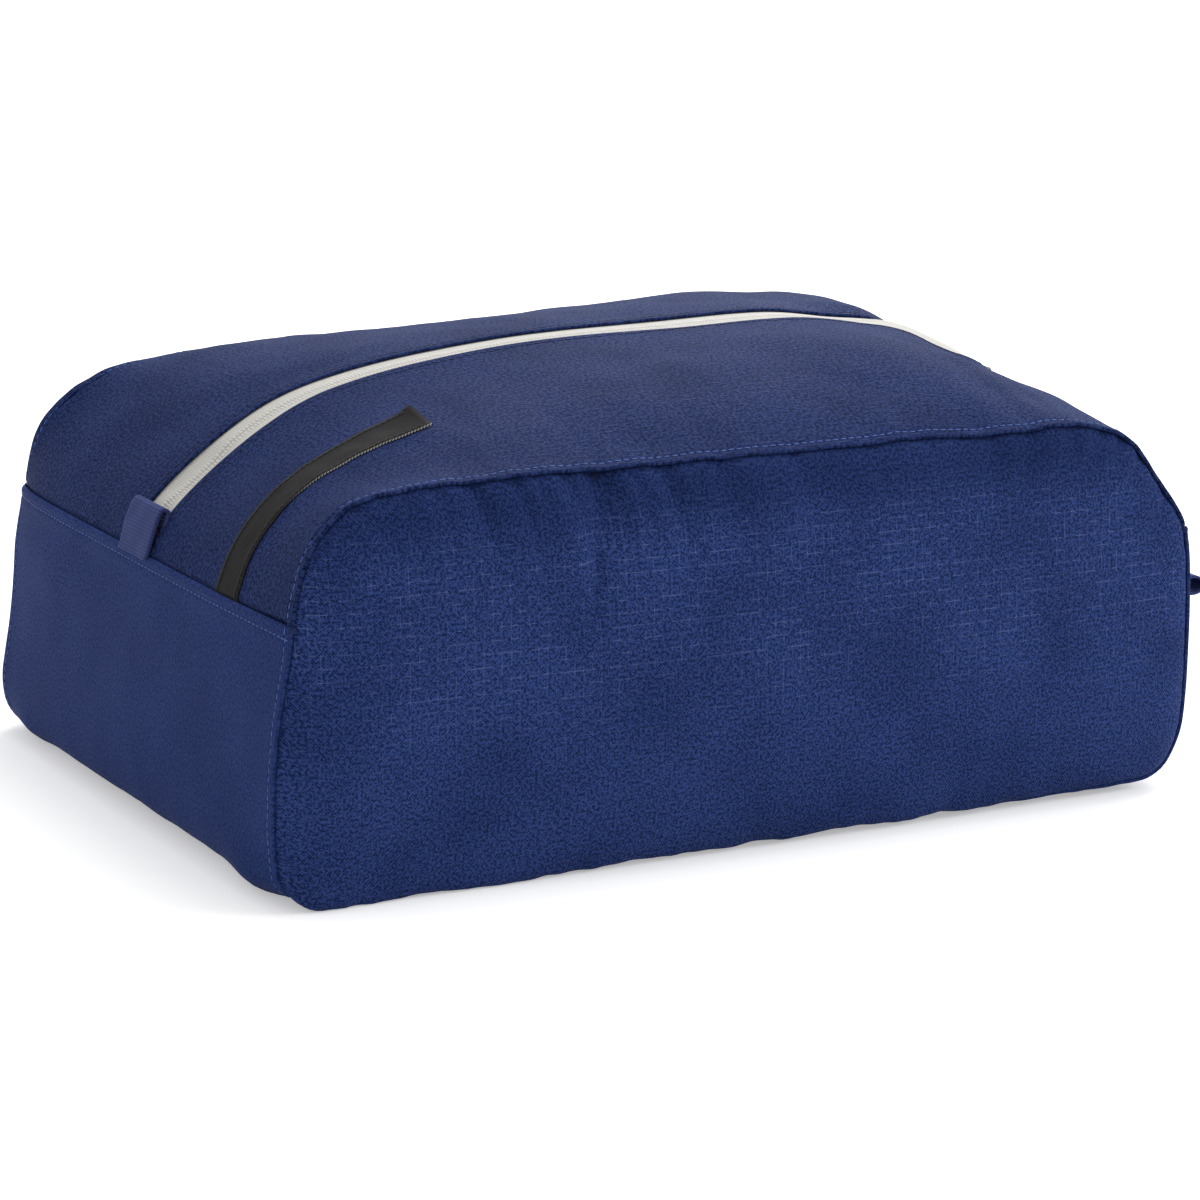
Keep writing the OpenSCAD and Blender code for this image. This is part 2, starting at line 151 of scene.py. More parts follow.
# The zip's x and z at stations: 0 to 1 is the left shoulder, 1 to 2 the mouth and 2 to 3 the right shoulder.
def zipLine(s):
    s = np.asarray(s, float)
    leftX, leftZ = shoulderLine(np.clip(s, 0, 1), -1)
    rightX, rightZ = shoulderLine(np.clip(3 - s, 0, 1), 1)
    midX = cube["mouthLeft"] + mouthSpan * (np.clip(s, 1, 2) - 1)
    power, reach = (np.where(midX < cube["crownX"], shoulders[-1][k], shoulders[1][k]) for k in (1, 2))
    low = (np.abs(midX - cube["crownX"]) / reach) ** power
    midZ = cube["springHeight"] + crownRise * (1 - low) ** (1 / power)
    x = np.where(s < 1, leftX, np.where(s > 2, rightX, midX))
    z = np.where(s < 1, leftZ, np.where(s > 2, rightZ, midZ))
    for place, height, width in cloth["zipRise"]:
        z = z + height * hump(x, place, width)
    return x, z - cloth["endDrop"] * hump(s, 0, cloth["endDropReach"])


# x and z along the seam of a side panel, from the left end seam over the top and back along the bottom.
frontSeamShape = [
    (-158.3, 85.3), (-156.5, 96.0), (-154.0, 104.2), (-150.4, 110.4), (-145.0, 115.9), (-138.0, 120.4),
    (-129.0, 123.1), (-119.0, 124.0), (-95, 124.4), (-60, 124.5), (-20, 124.5), (25, 124.5), (65, 124.6),
    (95, 124.5), (111, 124.4), (122.6, 123.4), (131.4, 120.4), (137.6, 115.8), (141.9, 110.7),
    (146.7, 104.6), (152.2, 97.8), (156.9, 90.2), (159.2, 81.5), (160.4, 65.5), (160.9, 45.5),
    (161.0, 30), (160.2, 19.0), (157.6, 11.4), (154.2, 7.2), (149.0, 4.4), (140, 3.1), (110, 2.2),
    (60, 1.7), (0, 1.7), (-60, 2), (-115, 2), (-143, 2), (-153.2, 2.6), (-157.9, 4.4), (-160.9, 8.0),
    (-162.8, 13.4), (-164.0, 21), (-164.5, 30), (-164.3, 41), (-163.5, 53.5), (-161.6, 65.5),
    (-159.6, 76.0),
]
rearSeamShape = [
    (-153.6, 83.4), (-151.6, 94.5), (-148.5, 103.5), (-142.9, 110.6), (-135.4, 116.6), (-126.7, 120.4),
    (-118, 122.6), (-109.0, 124.0), (-100, 125.1), (-88, 125.6), (-70, 125.3), (-40, 124.6), (0, 124.5),
    (40, 124.5), (95, 124.5), (115, 124.3), (127, 123.1), (136, 120.5), (144, 115.9), (150, 110.1),
    (154.6, 103.1), (157.6, 95.5), (159.4, 87.5), (160.6, 77.5), (161.4, 63.5), (161.6, 45.5),
    (161.6, 30), (160.6, 19.5), (157.8, 12), (153.6, 7.2), (148, 4.0), (139, 2.4), (110, 2), (60, 2),
    (0, 2), (-60, 2), (-115, 2), (-143, 2.0), (-152.5, 2.6), (-157.8, 4.6), (-161.0, 8.6),
    (-162.5, 13.8), (-162.7, 20), (-161.4, 28), (-159.3, 40), (-157.8, 53.5), (-156.9, 65.0),
    (-155.3, 74.5),
]


# A closed smooth curve through the points.
def smoothLoop(shape):
    points = np.array(shape, float)
    before, after, beyond = np.roll(points, 1, 0), np.roll(points, -1, 0), np.roll(points, -2, 0)
    t = np.linspace(0, 1, 24, endpoint=False)[None, :, None]
    span = np.linalg.norm(after - points, axis=1)[:, None]
    lastSpan, nextSpan = np.roll(span, 1, 0), np.roll(span, -1, 0)
    way0 = ((points - before) / lastSpan + (after - points) / span) / 2 * span
    way1 = ((after - points) / span + (beyond - after) / nextSpan) / 2 * span
    p0, p1, m0, m1 = points[:, None], after[:, None], way0[:, None], way1[:, None]
    curve = ((2 * t**3 - 3 * t**2 + 1) * p0 + (t**3 - 2 * t**2 + t) * m0
             + (3 * t**2 - 2 * t**3) * p1 + (t**3 - t**2) * m1).reshape(-1, 2)
    return np.vstack([curve, curve[:1]])


def seamDepth(z):
    turn = np.pi * np.clip(z, 0, cube["sideHeight"]) / cube["sideHeight"]
    return cloth["seamY"] + cloth["seamBow"] * np.sin(turn)


# A sewn edge wanders a little: a long wave and a short one.
def wander(way, side):
    return np.array([noise.noise(Vector((w / 17, side * 4.0, 0.5)))
                     + 0.45 * noise.noise(Vector((w / 6, side * 7.0, 2.5))) for w in way])


# Marks are the distances of stations 0 to 3 along the seam.
def makeSeam(shape, side):
    flat = smoothLoop(shape)
    way = lengthAlong(flat)
    even = np.arange(0, way[-1], 1.0)
    x, z = sample(even, way, flat).T
    z = z + cloth["seamWave"] * wander(even, side)
    top = np.arange(len(x)) < len(x) // 2
    past = (top & (x > cube["mouthLeft"]), top & (x > cube["mouthRight"]),
            (x > 100) & (z < cube["endSeamHeight"]))
    return {"points": np.stack([x, side * seamDepth(z), z], 1), "way": even, "length": way[-1],
            "marks": [0.0] + [even[np.argmax(reached)] for reached in past]}


seams = {-1: makeSeam(frontSeamShape, -1), 1: makeSeam(rearSeamShape, 1)}


def seamPoint(side, way):
    seam = seams[side]
    closed = np.vstack([seam["points"], seam["points"][:1]])
    return sample(np.mod(way, seam["length"]), np.append(seam["way"], seam["length"]), closed)


def stationWay(side, s):
    return np.interp(s, [0, 1, 2, 3], seams[side]["marks"])


# Each profile lists distance in from the edge and height over the cloth: a fold, then the topstitch's groove.
seamD, seamH = np.array([
    (0.7, -1.15), (-0.2, -0.9), (-0.45, -0.45), (-0.35, 0.05), (0.0, 0.24), (0.6, 0.3), (1.5, 0.28),
    (2.2, 0.18), (2.5, 0.02), (2.75, -0.03), (3.0, 0.04), (3.8, 0.16), (5.6, 0.12), (8.4, 0.03)]).T
zipD, zipH = np.array([
    (1.2, -0.8), (0.1, -0.78), (-0.25, -0.4), (-0.25, -0.02), (0.0, 0.2), (0.9, 0.28), (2.1, 0.22),
    (2.7, 0.02), (3.0, -0.06), (3.3, 0.02), (4.2, 0.12), (6.0, 0.06), (8.4, 0.0)])[::-1].T
endD, endH = np.array([
    (0.6, -1.8), (-0.5, -1.0), (-0.8, -0.3), (-0.55, 0.4), (0.1, 0.85), (1.0, 0.95), (2.2, 0.75),
    (2.75, 0.25), (3.0, 0.05), (3.3, 0.25), (4.2, 0.42), (6.0, 0.25), (8.5, 0.0)]).T
seamStitchRow, zipStitchRow, endStitchRow = 9, 8, 8


# Points at signed distances along each row of a fine grid, lifted off it by the heights.
def layOut(grid, normals, distances, heights):
    points, lifted = np.zeros(distances.shape + (3,)), np.zeros(distances.shape + (3,))
    for i, row in enumerate(grid):
        way = lengthAlong(row)
        held = np.clip(distances[i], 0, way[-1])
        past = (distances[i] - held)[:, None]
        before, after = unit(row[1] - row[0]), unit(row[-1] - row[-2])
        points[i] = sample(held, way, row) + (np.minimum(past, 0) * before + np.maximum(past, 0) * after)
        lifted[i] = sample(held, way, normals[i])
    lifted = unit(lifted)
    return points + lifted * heights[..., None], lifted


def unevenness(points, size, seed):
    offset = Vector((seed * 17.3, seed * 5.1, seed * 9.7))
    flat = points.reshape(-1, 3) / size
    return np.array([noise.noise(Vector(p) + offset) for p in flat]).reshape(points.shape[:-1])


# A fold is its place along the seam, depth, width, reach away from the seam, and slant.
def randomFolds(seed, length, gap, depth, width, reach):
    draw = np.random.default_rng(seed)
    folds, place = [], 0.0
    while place < length:
        place += draw.uniform(0.6, 1.5) * gap
        folds.append((place, -depth * draw.uniform(0.3, 1.0), width * draw.uniform(0.7, 1.4),
                      reach * draw.uniform(0.5, 1.5), draw.uniform(-0.3, 0.3)))
    return folds


def puckers(along, away, folds):
    height = np.zeros(np.broadcast(along, away).shape)
    for place, depth, width, reach, slant in folds:
        height += depth * hump(along - place - slant * away, 0, width) * np.exp(-away / reach)
    return height * rising(np.maximum(away, 0), 1.5)


# Waves and wrinkles that fade out towards the edges: each row is height, size and a fade for each distance.
def relief(points, rows, seed, *distances):
    height = 0.0
    for i, (rise, size, *fades) in enumerate(rows):
        calm = math.prod(rising(away, fade) for away, fade in zip(distances, fades))
        height = height + rise * calm * unevenness(points, size, seed + i)
    return height


def only(piece):
    bpy.ops.object.select_all(action="DESELECT")
    piece.select_set(True)
    bpy.context.view_layer.objects.active = piece


def smooth(piece):
    only(piece)
    bpy.ops.object.shade_smooth()


def addObject(name, data):
    piece = bpy.data.objects.new(name, data)
    bpy.context.collection.objects.link(piece)
    return piece


def dress(piece, *materials):
    piece.data.materials.clear()
    for material in materials:
        piece.data.materials.append(material)
    return piece


# A grid whose vertices are moved to the laid-out points; uv is in metres along the cloth.
def clothGrid(name, points, normals, uv):
    rows, cols = points.shape[:2]
    winding = np.cross(np.diff(points, axis=1)[:-1], np.diff(points, axis=0)[:, :-1])
    if (winding * normals[:-1, :-1]).sum() < 0:
        points, uv = points[::-1], uv[::-1]
    bpy.ops.object.select_all(action="DESELECT")
    bpy.ops.mesh.primitive_grid_add(x_subdivisions=cols - 1, y_subdivisions=rows - 1, size=1)
    piece = bpy.context.object
    piece.name = piece.data.name = name
    piece.data.vertices.foreach_set("co", np.ascontiguousarray(points * mm, dtype=np.float32).ravel())
    corners = np.zeros(len(piece.data.loops), dtype=np.int32)
    piece.data.loops.foreach_get("vertex_index", corners)
    flat = np.ascontiguousarray((uv * mm).reshape(-1, 2)[corners], dtype=np.float32)
    piece.data.uv_layers[0].data.foreach_set("uv", flat.ravel())
    piece.data.update()
    smooth(piece)
    return piece


# A sheet of cloth with its thickness; a second material is for its back.
def sheet(name, points, normals, uv, thickness, *materials):
    piece = dress(clothGrid(name, points, normals, uv), *materials)
    solid = piece.modifiers.new("thickness", "SOLIDIFY")
    solid.thickness = thickness * mm
    solid.offset = -1
    solid.material_offset = len(materials) - 1
    bpy.ops.object.modifier_apply(modifier=solid.name)
    return piece


# One mesh of copies of a small pattern, each at its place, with x along its way and z up off the cloth.
def repeated(name, pattern, places, ways, ups, material):
    shape = np.array([v.co[:] for v in pattern.data.vertices]) / mm
    faces = [tuple(p.vertices) for p in pattern.data.polygons]
    sides = unit(np.cross(ups, ways))
    ups = unit(np.cross(ways, sides))
    points = (places[:, None] + shape[None, :, 0:1] * ways[:, None] + shape[None, :, 1:2] * sides[:, None]
              + shape[None, :, 2:3] * ups[:, None])
    mesh = bpy.data.meshes.new(name)
    allFaces = [tuple(v + i * len(shape) for v in face) for i in range(len(places)) for face in faces]
    mesh.from_pydata((points.reshape(-1, 3) * mm).tolist(), [], allFaces)
    piece = addObject(name, mesh)
    smooth(piece)
    return dress(piece, material)


# Places at an even pitch along a line, with the way and the up direction at each.
def evenly(line, ups, pitch, start):
    way = lengthAlong(line)
    at = np.arange(start, way[-1] - start, pitch)
    ahead, behind = (sample(np.clip(at + step, 0, way[-1]), way, line) for step in (0.5, -0.5))
    return sample(at, way, line), unit(ahead - behind), unit(sample(at, way, ups))


# Cloth and trim colours are linear; pitches are in millimetres. A calm cloth is plainer and painted darker
# between two heights, a painted shade under its top seam.
clothLooks = {
    "sideTwill": {
        "dark": (0.0015, 0.0060, 0.035), "light": (0.0351, 0.0646, 0.222), "line": (0.085, 0.115, 0.300),
        "pitch": 0.90, "weave": 0.5, "weft": 0.3, "yarn": 0.9, "grain": 0.75, "grid": 4.0, "ticks": 3.0,
        # calm holds the heights of the painted shade under the top seam
        "lineShare": 0.75, "lineWidth": 0.26, "bump": 0.16, "sheen": 0.015, "calm": (98.0, 118.0)},
    "topRipstop": {
        "dark": (0.0015, 0.0050, 0.028), "light": (0.0248, 0.0440, 0.151), "line": (0.085, 0.110, 0.260),
        "pitch": 0.80, "weave": 0.4, "weft": 0.05, "yarn": 1.05, "grain": 0.85, "grid": 3.1, "ticks": 3.1,
        "lineShare": 0.24, "lineWidth": 0.24, "bump": 0.12, "sheen": 0.02},
    "gussetCloth": {
        "dark": (0.0065, 0.0165, 0.082), "light": (0.0336, 0.0587, 0.198), "line": (0.045, 0.070, 0.210),
        "pitch": 0.60, "weave": 0.5, "weft": 0.3, "yarn": 0.9, "grain": 0.6, "grid": 3.6, "ticks": 3.6,
        "lineShare": 0.12, "lineWidth": 0.25, "bump": 0.09, "sheen": 0.01},
    "insideCoating": {
        "dark": (0.014, 0.024, 0.072), "light": (0.024, 0.038, 0.104), "line": (0.040, 0.055, 0.14),
        "pitch": 0.90, "weave": 0.5, "weft": 0.3, "yarn": 0.9, "grain": 0.5, "grid": 4.5, "ticks": 4.5,
        "lineShare": 0.25, "lineWidth": 0.3, "bump": 0.06, "sheen": 0.01},
}
trimLook = {
    "tape": (0.62, 0.605, 0.565),
    "tapeShade": (0.42, 0.405, 0.375),
    "coil": (0.60, 0.585, 0.55),
    "metal": (0.10, 0.105, 0.115),
    "webbing": (0.024, 0.037, 0.135),
    "webbingLight": (0.060, 0.078, 0.215),
    "label": (0.0068, 0.0056, 0.0052),
    "labelLight": (0.0165, 0.0140, 0.0125),
    "labelThread": (0.006, 0.006, 0.0055),
    "selvedge": (0.42, 0.41, 0.39),
    "binding": (0.008, 0.014, 0.048),
    "bindingLight": (0.018, 0.028, 0.084),
    "thread": (0.060, 0.128, 0.400),
    "zipThread": (0.010, 0.018, 0.070),
}


def newMaterial(name, roughness, metallic=0.0, sheen=0.0, gloss=0.02):
    material = bpy.data.materials.new(name)
    material.use_nodes = True
    shader = material.node_tree.nodes["Principled BSDF"]
    for socket, value in (("Roughness", roughness), ("Metallic", metallic), ("Sheen Weight", sheen),
                          ("Sheen Roughness", 0.45), ("Sheen Tint", (0.55, 0.62, 1.0)),
                          ("Specular IOR Level", gloss)):
        put(shader.inputs[socket], value)
    return material, shader


# Links a socket where the value is another node's output, and otherwise sets it.
def put(socket, value):
    if isinstance(value, bpy.types.NodeSocket):
        socket.id_data.links.new(value, socket)
    else:
        socket.default_value = value + (1.0,) if isinstance(value, tuple) else value


# A node in the tree that the owner belongs to, with its settings made and its inputs linked or set.
def addNode(owner, kind, inputs, **settings):
    made = owner.id_data.nodes.new("ShaderNode" + kind)
    for name, value in settings.items():
        setattr(made, name, value)
    for name, value in inputs.items():
        put(made.inputs[name], value)
    return made


def sums(operation, *values):
    owner = next(value for value in values if isinstance(value, bpy.types.NodeSocket))
    return addNode(owner, "Math", dict(enumerate(values)), operation=operation).outputs[0]


def times(first, second):
    return sums("MULTIPLY", first, second)


def timesPlus(first, second, added):
    return sums("MULTIPLY_ADD", first, second, added)


# Where a point lies on its cloth, also as millimetres across and along.
def clothPlace(shader):
    place = addNode(shader, "UVMap", {}).outputs[0]
    u, v = addNode(place, "SeparateXYZ", {0: place}).outputs[:2]
    return place, times(u, 1000.0), times(v, 1000.0)


def speckle(place, size, detail=2.0, roughness=0.5):
    inputs = {"Vector": place, "Scale": 1000.0 / size, "Detail": detail, "Roughness": roughness}
    return addNode(place, "TexNoise", inputs).outputs["Fac"]


def stretch(value, low, high, newLow=0.0, newHigh=1.0):
    inputs = {"Value": value, "From Min": low, "From Max": high, "To Min": newLow, "To Max": newHigh}
    return addNode(value, "MapRange", inputs, interpolation_type="SMOOTHSTEP").outputs["Result"]


def blendColours(share, first, second):
    inputs = {"Factor": share, "A": first, "B": second}
    return addNode(share, "Mix", inputs, data_type="RGBA").outputs["Result"]


# The last links of a material: its colour, how dull it is over its grain, and its relief in millimetres.
def finishShader(shader, colour, grain, dull, glossy, height, depth):
    put(shader.inputs["Base Color"], colour)
    put(shader.inputs["Roughness"], stretch(grain, 0.3, 0.7, dull, glossy))
    bump = addNode(shader, "Bump", {"Distance": depth * mm, "Height": height})
    put(shader.inputs["Normal"], bump.outputs["Normal"])


def ribs(place, pitch):
    return timesPlus(sums("SINE", times(place, 2 * math.pi / pitch)), 0.5, 0.5)


def gridLine(place, spacing, width):
    share = sums("FRACT", sums("DIVIDE", place, spacing))
    off = times(sums("ABSOLUTE", sums("SUBTRACT", share, 0.5)), spacing)
    return stretch(off, width * 0.4, width, 1.0, 0.0)


# Diagonal twill with heavier ripstop threads each way, paler in patches from wear; a calm cloth also has
# painted shade under its top seam.
def ripstopCloth(name, look):
    material, shader = newMaterial(name, 0.62, sheen=look["sheen"])
    place, u, v = clothPlace(shader)
    twill = ribs(sums("ADD", u, times(v, 0.8)), look["pitch"])
    weft = ribs(sums("SUBTRACT", v, times(u, 0.35)), look["pitch"] * 0.8)
    yarn, patch = speckle(place, look["yarn"], 3.0, 0.7), speckle(place, 38.0)
    weave = timesPlus(weft, look["weft"], times(twill, 1 - look["weft"]))
    shade = timesPlus(weave, look["weave"], stretch(yarn, 0.43, 0.57, 0.0, look["grain"]))
    shade = times(shade, stretch(patch, 0.25, 0.75, 0.72, 1.12))
    colour = blendColours(shade, look["dark"], look["light"])
    dashes = stretch(speckle(place, 3.4, 2.0, 0.6), 0.44, 0.57)
    across, down = gridLine(v, look["grid"], look["lineWidth"]), gridLine(u, look["ticks"], look["lineWidth"])
    tick = times(down, gridLine(v, look["grid"], look["lineWidth"] * 3.6))
    lines = sums("MAXIMUM", sums("MAXIMUM", across, tick), times(down, 0.5))
    wornAndShadedLines = times(times(lines, dashes), stretch(patch, 0.32, 0.56, 0.3, 1.0))
    # Painted shade: towards the top seam the cloth is painted darker and its lines fainter, shade under the
    # hem; below 68 mm the lines fade as well, a painted loss of the sheen that shows them.
    if "calm" in look:
        low, high = look["calm"]
        wornAndShadedLines = times(wornAndShadedLines, stretch(v, low, high, 1.0, 0.15))
        wornAndShadedLines = times(wornAndShadedLines, stretch(v, 35.0, 68.0, 0.3, 1.0))
        colour = blendColours(stretch(v, low, high, 0.0, 0.42), colour, look["dark"])
    colour = blendColours(times(wornAndShadedLines, look["lineShare"]), colour, look["line"])
    finishShader(shader, colour, yarn, 0.66, 0.52, timesPlus(lines, 0.8, weave), look["bump"])
    return material


def zipTapeCloth():
    material, shader = newMaterial("zipTapeWeave", 0.6, sheen=0.05, gloss=0.15)
    place, u, v = clothPlace(shader)
    # Painted shade: the tape is darker in the hollows between the coil's teeth and along the middle where the
    # two tapes meet; it is also a little darker over the coil.
    weave, away = times(ribs(u, 0.85), ribs(v, 0.9)), sums("ABSOLUTE", v)
    overCoil = stretch(away, 2.3, 2.9, 1.0, 0.0)
    teeth = times(ribs(u, 1.27), overCoil)
    yarn = speckle(place, 0.7, 3.0, 0.7)
    seamShade = stretch(away, 0.15, 0.7, 0.5, 0.0)
    shade = timesPlus(teeth, -0.22, stretch(yarn, 0.25, 0.75, 0.0, 0.42))
    shade = sums("MAXIMUM", timesPlus(overCoil, 0.12, shade), seamShade)
    colour = blendColours(shade, trimLook["tape"], trimLook["tapeShade"])
    finishShader(shader, colour, yarn, 0.68, 0.5, timesPlus(teeth, 1.6, weave), 0.12)
    return material


# Ribbed webbing and tape: ribs run across it, fine warp threads run along it.
def ribbedTape(name, kind, pitch, sheen, bump):
    material, shader = newMaterial(name, 0.6, sheen=sheen)
    place, u, v = clothPlace(shader)
    rib, warp = ribs(v, pitch), ribs(u, 0.55)
    yarn, patch = speckle(place, 0.8, 3.0, 0.7), speckle(place, 9.0)
    shade = timesPlus(rib, 0.45, times(warp, 0.18))
    shade = sums("ADD", shade, stretch(yarn, 0.3, 0.7, 0.0, 0.35))
    shade = times(shade, stretch(patch, 0.25, 0.75, 0.7, 1.1))
    colour = blendColours(shade, trimLook[kind], trimLook[kind + "Light"])
    finishShader(shader, colour, yarn, 0.66, 0.5, timesPlus(warp, 0.25, rib), bump)
    return material


# The woven label is bare; one long edge shows its pale selvedge threads.
def labelCloth():
    material, shader = newMaterial("labelWeave", 0.55, sheen=0.02, gloss=0.05)
    place, u, v = clothPlace(shader)
    weave, yarn = times(ribs(u, 0.5), ribs(v, 0.42)), speckle(place, 0.6, 3.0, 0.7)
    shade = timesPlus(weave, 0.5, stretch(yarn, 0.3, 0.7, 0.0, 0.5))
    colour = blendColours(shade, trimLook["label"], trimLook["labelLight"])
    threads = times(stretch(ribs(sums("ADD", u, v), 1.15), 0.35, 0.75), stretch(v, 15.15, 15.45))
    threads = times(threads, stretch(u, 36.0, 56.0, 0.06, 0.85))
    colour = blendColours(threads, colour, trimLook["selvedge"])
    finishShader(shader, colour, yarn, 0.6, 0.48, timesPlus(threads, 1.2, weave), 0.08)
    return material


# Plain trim: an even colour with fine unevenness in its shade and gloss.
def plainTrim(name, kind, spread, size, roughness, metallic=0.0, sheen=0.0, bump=0.02):
    material, shader = newMaterial(name, roughness, metallic=metallic, sheen=sheen, gloss=0.3)
    grain = speckle(addNode(shader, "TexCoord", {}).outputs["Object"], size, 4.0, 0.6)
    darker, lighter = (tuple(c * (1 + change) for c in trimLook[kind]) for change in (-spread, spread))
    colour = blendColours(stretch(grain, 0.3, 0.7), darker, lighter)
    finishShader(shader, colour, grain, roughness + 0.08, roughness - 0.08, grain, bump)
    return material


sideTwill, topRipstop, gussetCloth, insideCoating = (
    ripstopCloth(name, look) for name, look in clothLooks.items())
zipWeave = zipTapeCloth()
loopWebbing = ribbedTape("loopWebbing", "webbing", 1.1, 0.15, 0.2)
seamTape = ribbedTape("seamTape", "binding", 0.9, 0.1, 0.1)
labelWeave = labelCloth()
coilNylon = plainTrim("coilNylon", "coil", 0.08, 0.8, 0.38)
sliderEnamel = plainTrim("sliderEnamel", "metal", 0.18, 0.5, 0.34, metallic=0.75)
labelThread = plainTrim("labelThread", "labelThread", 0.3, 0.35, 0.5)
sewingThread = plainTrim("sewingThread", "thread", 0.3, 0.35, 0.5, sheen=0.05, bump=0.05)
zipThread = plainTrim("zipThread", "zipThread", 0.3, 0.35, 0.5, bump=0.05)
print("materials ready")


# How full the top stands between its seam and the zip, as an exponent at each station.
def fullness(side, stations):
    return lookUp(stations, cloth["fullness"][side])


# Each top half hangs from its side seam to the zip; share is 1 at the seam and 0 over the zip.
def topSurface(side, stations, share):
    rim = seamPoint(side, stationWay(side, stations))
    zipX, zipZ = zipLine(stations)
    rise = 1 - np.abs(share) ** fullness(side, stations)[:, None]
    x = rim[:, :1] + (zipX[:, None] - rim[:, :1]) * rise
    z = rim[:, 2:] + (zipZ[:, None] - rim[:, 2:]) * rise
    return np.stack([x, rim[:, 1:2] * share, z], -1)


def topNormals(side, stations, share):
    nudge = 0.004
    along = (topSurface(side, np.minimum(stations + nudge, 3), share)
             - topSurface(side, np.maximum(stations - nudge, 0), share))
    across = topSurface(side, stations, share - nudge) - topSurface(side, stations, share + nudge)
    return unit(np.cross(across, along)) * side


# Folds are drawn by seed, length, gap, depth, width and reach. The relief's fades are from seam, zip and end.
topLook = {"relief": ((1.5, 46, 18, 16, 14), (0.4, 15, 6, 8, 5)), "seamFolds": (460, 13, 0.5, 3.2, 10),
           "zipFolds": (460, 11, 0.18, 2.6, 9), "middleRows": 52, "endTuck": 1.5, "endTuckReach": 1.7,
           "tuckIn": 0.4, "tuckDown": 3.0, "lipReach": 6, "stripHalf": 8.8}
topSpan = {"left": (0, middleStation), "right": (middleStation, 3)}
nearEnd = np.array([0, 0.4, 0.9, 1.5, 2.3, 3.2, 4.4])
halves = {
    "frontTopLeft": (-1, "front", "left"), "frontTopRight": (-1, "front", "right"),
    "rearTopLeft": (1, "rear", "left"), "rearTopRight": (1, "rear", "right"),
}


# Stations of equal length along the cloth, closer together near an end seam.
def makeStations(side, end, gap):
    fine = np.linspace(0, 3, 1201)
    rim = seamPoint(side, stationWay(side, fine))
    way = (lengthAlong(np.stack(zipLine(fine), 1)) + lengthAlong(rim)) / 2
    start, stop = np.interp(topSpan[end], fine, way)
    count = int((stop - start) / gap)
    if end == "left":
        places = np.concatenate([start + nearEnd, np.linspace(start + 6, stop, count)])
    else:
        places = np.concatenate([np.linspace(start, stop - 6, count), stop - nearEnd[::-1]])
    return np.interp(places, way, fine), places[:, None], np.minimum(places, way[-1] - places)[:, None]


# The sheet goes on down behind the gusset's folded edge at an end seam.
def tuckUnder(points, ups, uv, atStart):
    edge = 0 if atStart else -1
    lower = points[edge] - ups[edge] * topLook["tuckIn"] - np.array([0, 0, topLook["tuckDown"]])
    added = [np.stack([lower, (points[edge] + lower) / 2]), ups[[edge, edge]], uv[[edge, edge]]]
    if atStart:
        return [np.concatenate(pair) for pair in zip(added, (points, ups, uv))]
    return [np.concatenate([field, more[::-1]]) for field, more in zip((points, ups, uv), added)]


def makeTop(half):
    side, _, end = halves[half]
    stations, along, endAway = makeStations(side, end, cloth["gridStep"])
    share = 1 - np.linspace(0, 1, 161)[None, :] ** 1.15
    grid, normals = topSurface(side, stations, share), topNormals(side, stations, share)
    width = rowWidths(grid) - topLook["stripHalf"]
    middle = np.linspace(0, 1, topLook["middleRows"])[None, 1:-1]
    distances = np.hstack([np.repeat(seamD[None], len(width), 0),
                           seamD[-1] + (width - zipD[0] - seamD[-1]) * middle, width - zipD])
    heights = np.concatenate([seamH, np.zeros(middle.size), zipH])[None].repeat(len(width), 0)
    flat, _ = layOut(grid, normals, distances, heights * 0)
    seamAway, zipAway = np.maximum(distances, 0), np.maximum(width - distances, 0)
    heights += relief(flat, topLook["relief"], 3 if side < 0 else 11, seamAway, zipAway, endAway)
    heights += puckers(along, seamAway, randomFolds(20 + side, *topLook["seamFolds"]))
    heights += puckers(along, zipAway, randomFolds(30 + side, *topLook["zipFolds"]))
    heights -= topLook["endTuck"] * hump(endAway, 0, topLook["endTuckReach"])
    place, puff, long, near, far = cloth["puffs"][side]
    heights += puff * hump(flat[..., 0], place, long) * hump(zipAway, 0, far) * (1 - hump(zipAway, 0, near))
    if side < 0:
        heights += lookUp(flat[..., 0], cloth["lipRise"]) * np.exp(-zipAway / topLook["lipReach"])
    points, ups = layOut(grid, normals, distances, heights)
    points, ups, uv = tuckUnder(points, ups, pairUp(along, distances), end == "left")
    return sheet(half, points, ups, uv, cloth["thickness"], topRipstop, insideCoating), points, ups


# The two halves of a sheet share their shading where they meet, so the cut between them doesn't show.
def shareShading(first, second):
    def key(vertex):
        return tuple(round(c * 1e5) for c in vertex.co)

    meshes = (first.data, second.data)
    met = {key(v) for v in meshes[0].vertices} & {key(v) for v in meshes[1].vertices}
    total, atCut, hidden = {}, [], []
    for mesh in meshes:
        keys = {v.index: key(v) for v in mesh.vertices if key(v) in met}
        cutFaces = {p.index for p in mesh.polygons if all(i in keys for i in p.vertices)}
        atCut.append(keys)
        hidden.append(cutFaces)
        for face in mesh.polygons:
            if face.index not in cutFaces:
                for i in face.vertices:
                    if i in keys:
                        total[keys[i]] = total.get(keys[i], Vector()) + face.normal * face.area
    for mesh, keys, cutFaces in zip(meshes, atCut, hidden):
        corners = [Vector(n.vector) for n in mesh.corner_normals]
        for face in mesh.polygons:
            for corner, i in zip(face.loop_indices, face.vertices):
                if face.index in cutFaces:
                    corners[corner] = face.normal.copy()
                elif i in keys:
                    corners[corner] = total[keys[i]].normalized()
        mesh.normals_split_custom_set(corners)


def shareHalves(pieces):
    for side in ("front", "rear"):
        shareShading(pieces[side + "TopLeft"], pieces[side + "TopRight"])


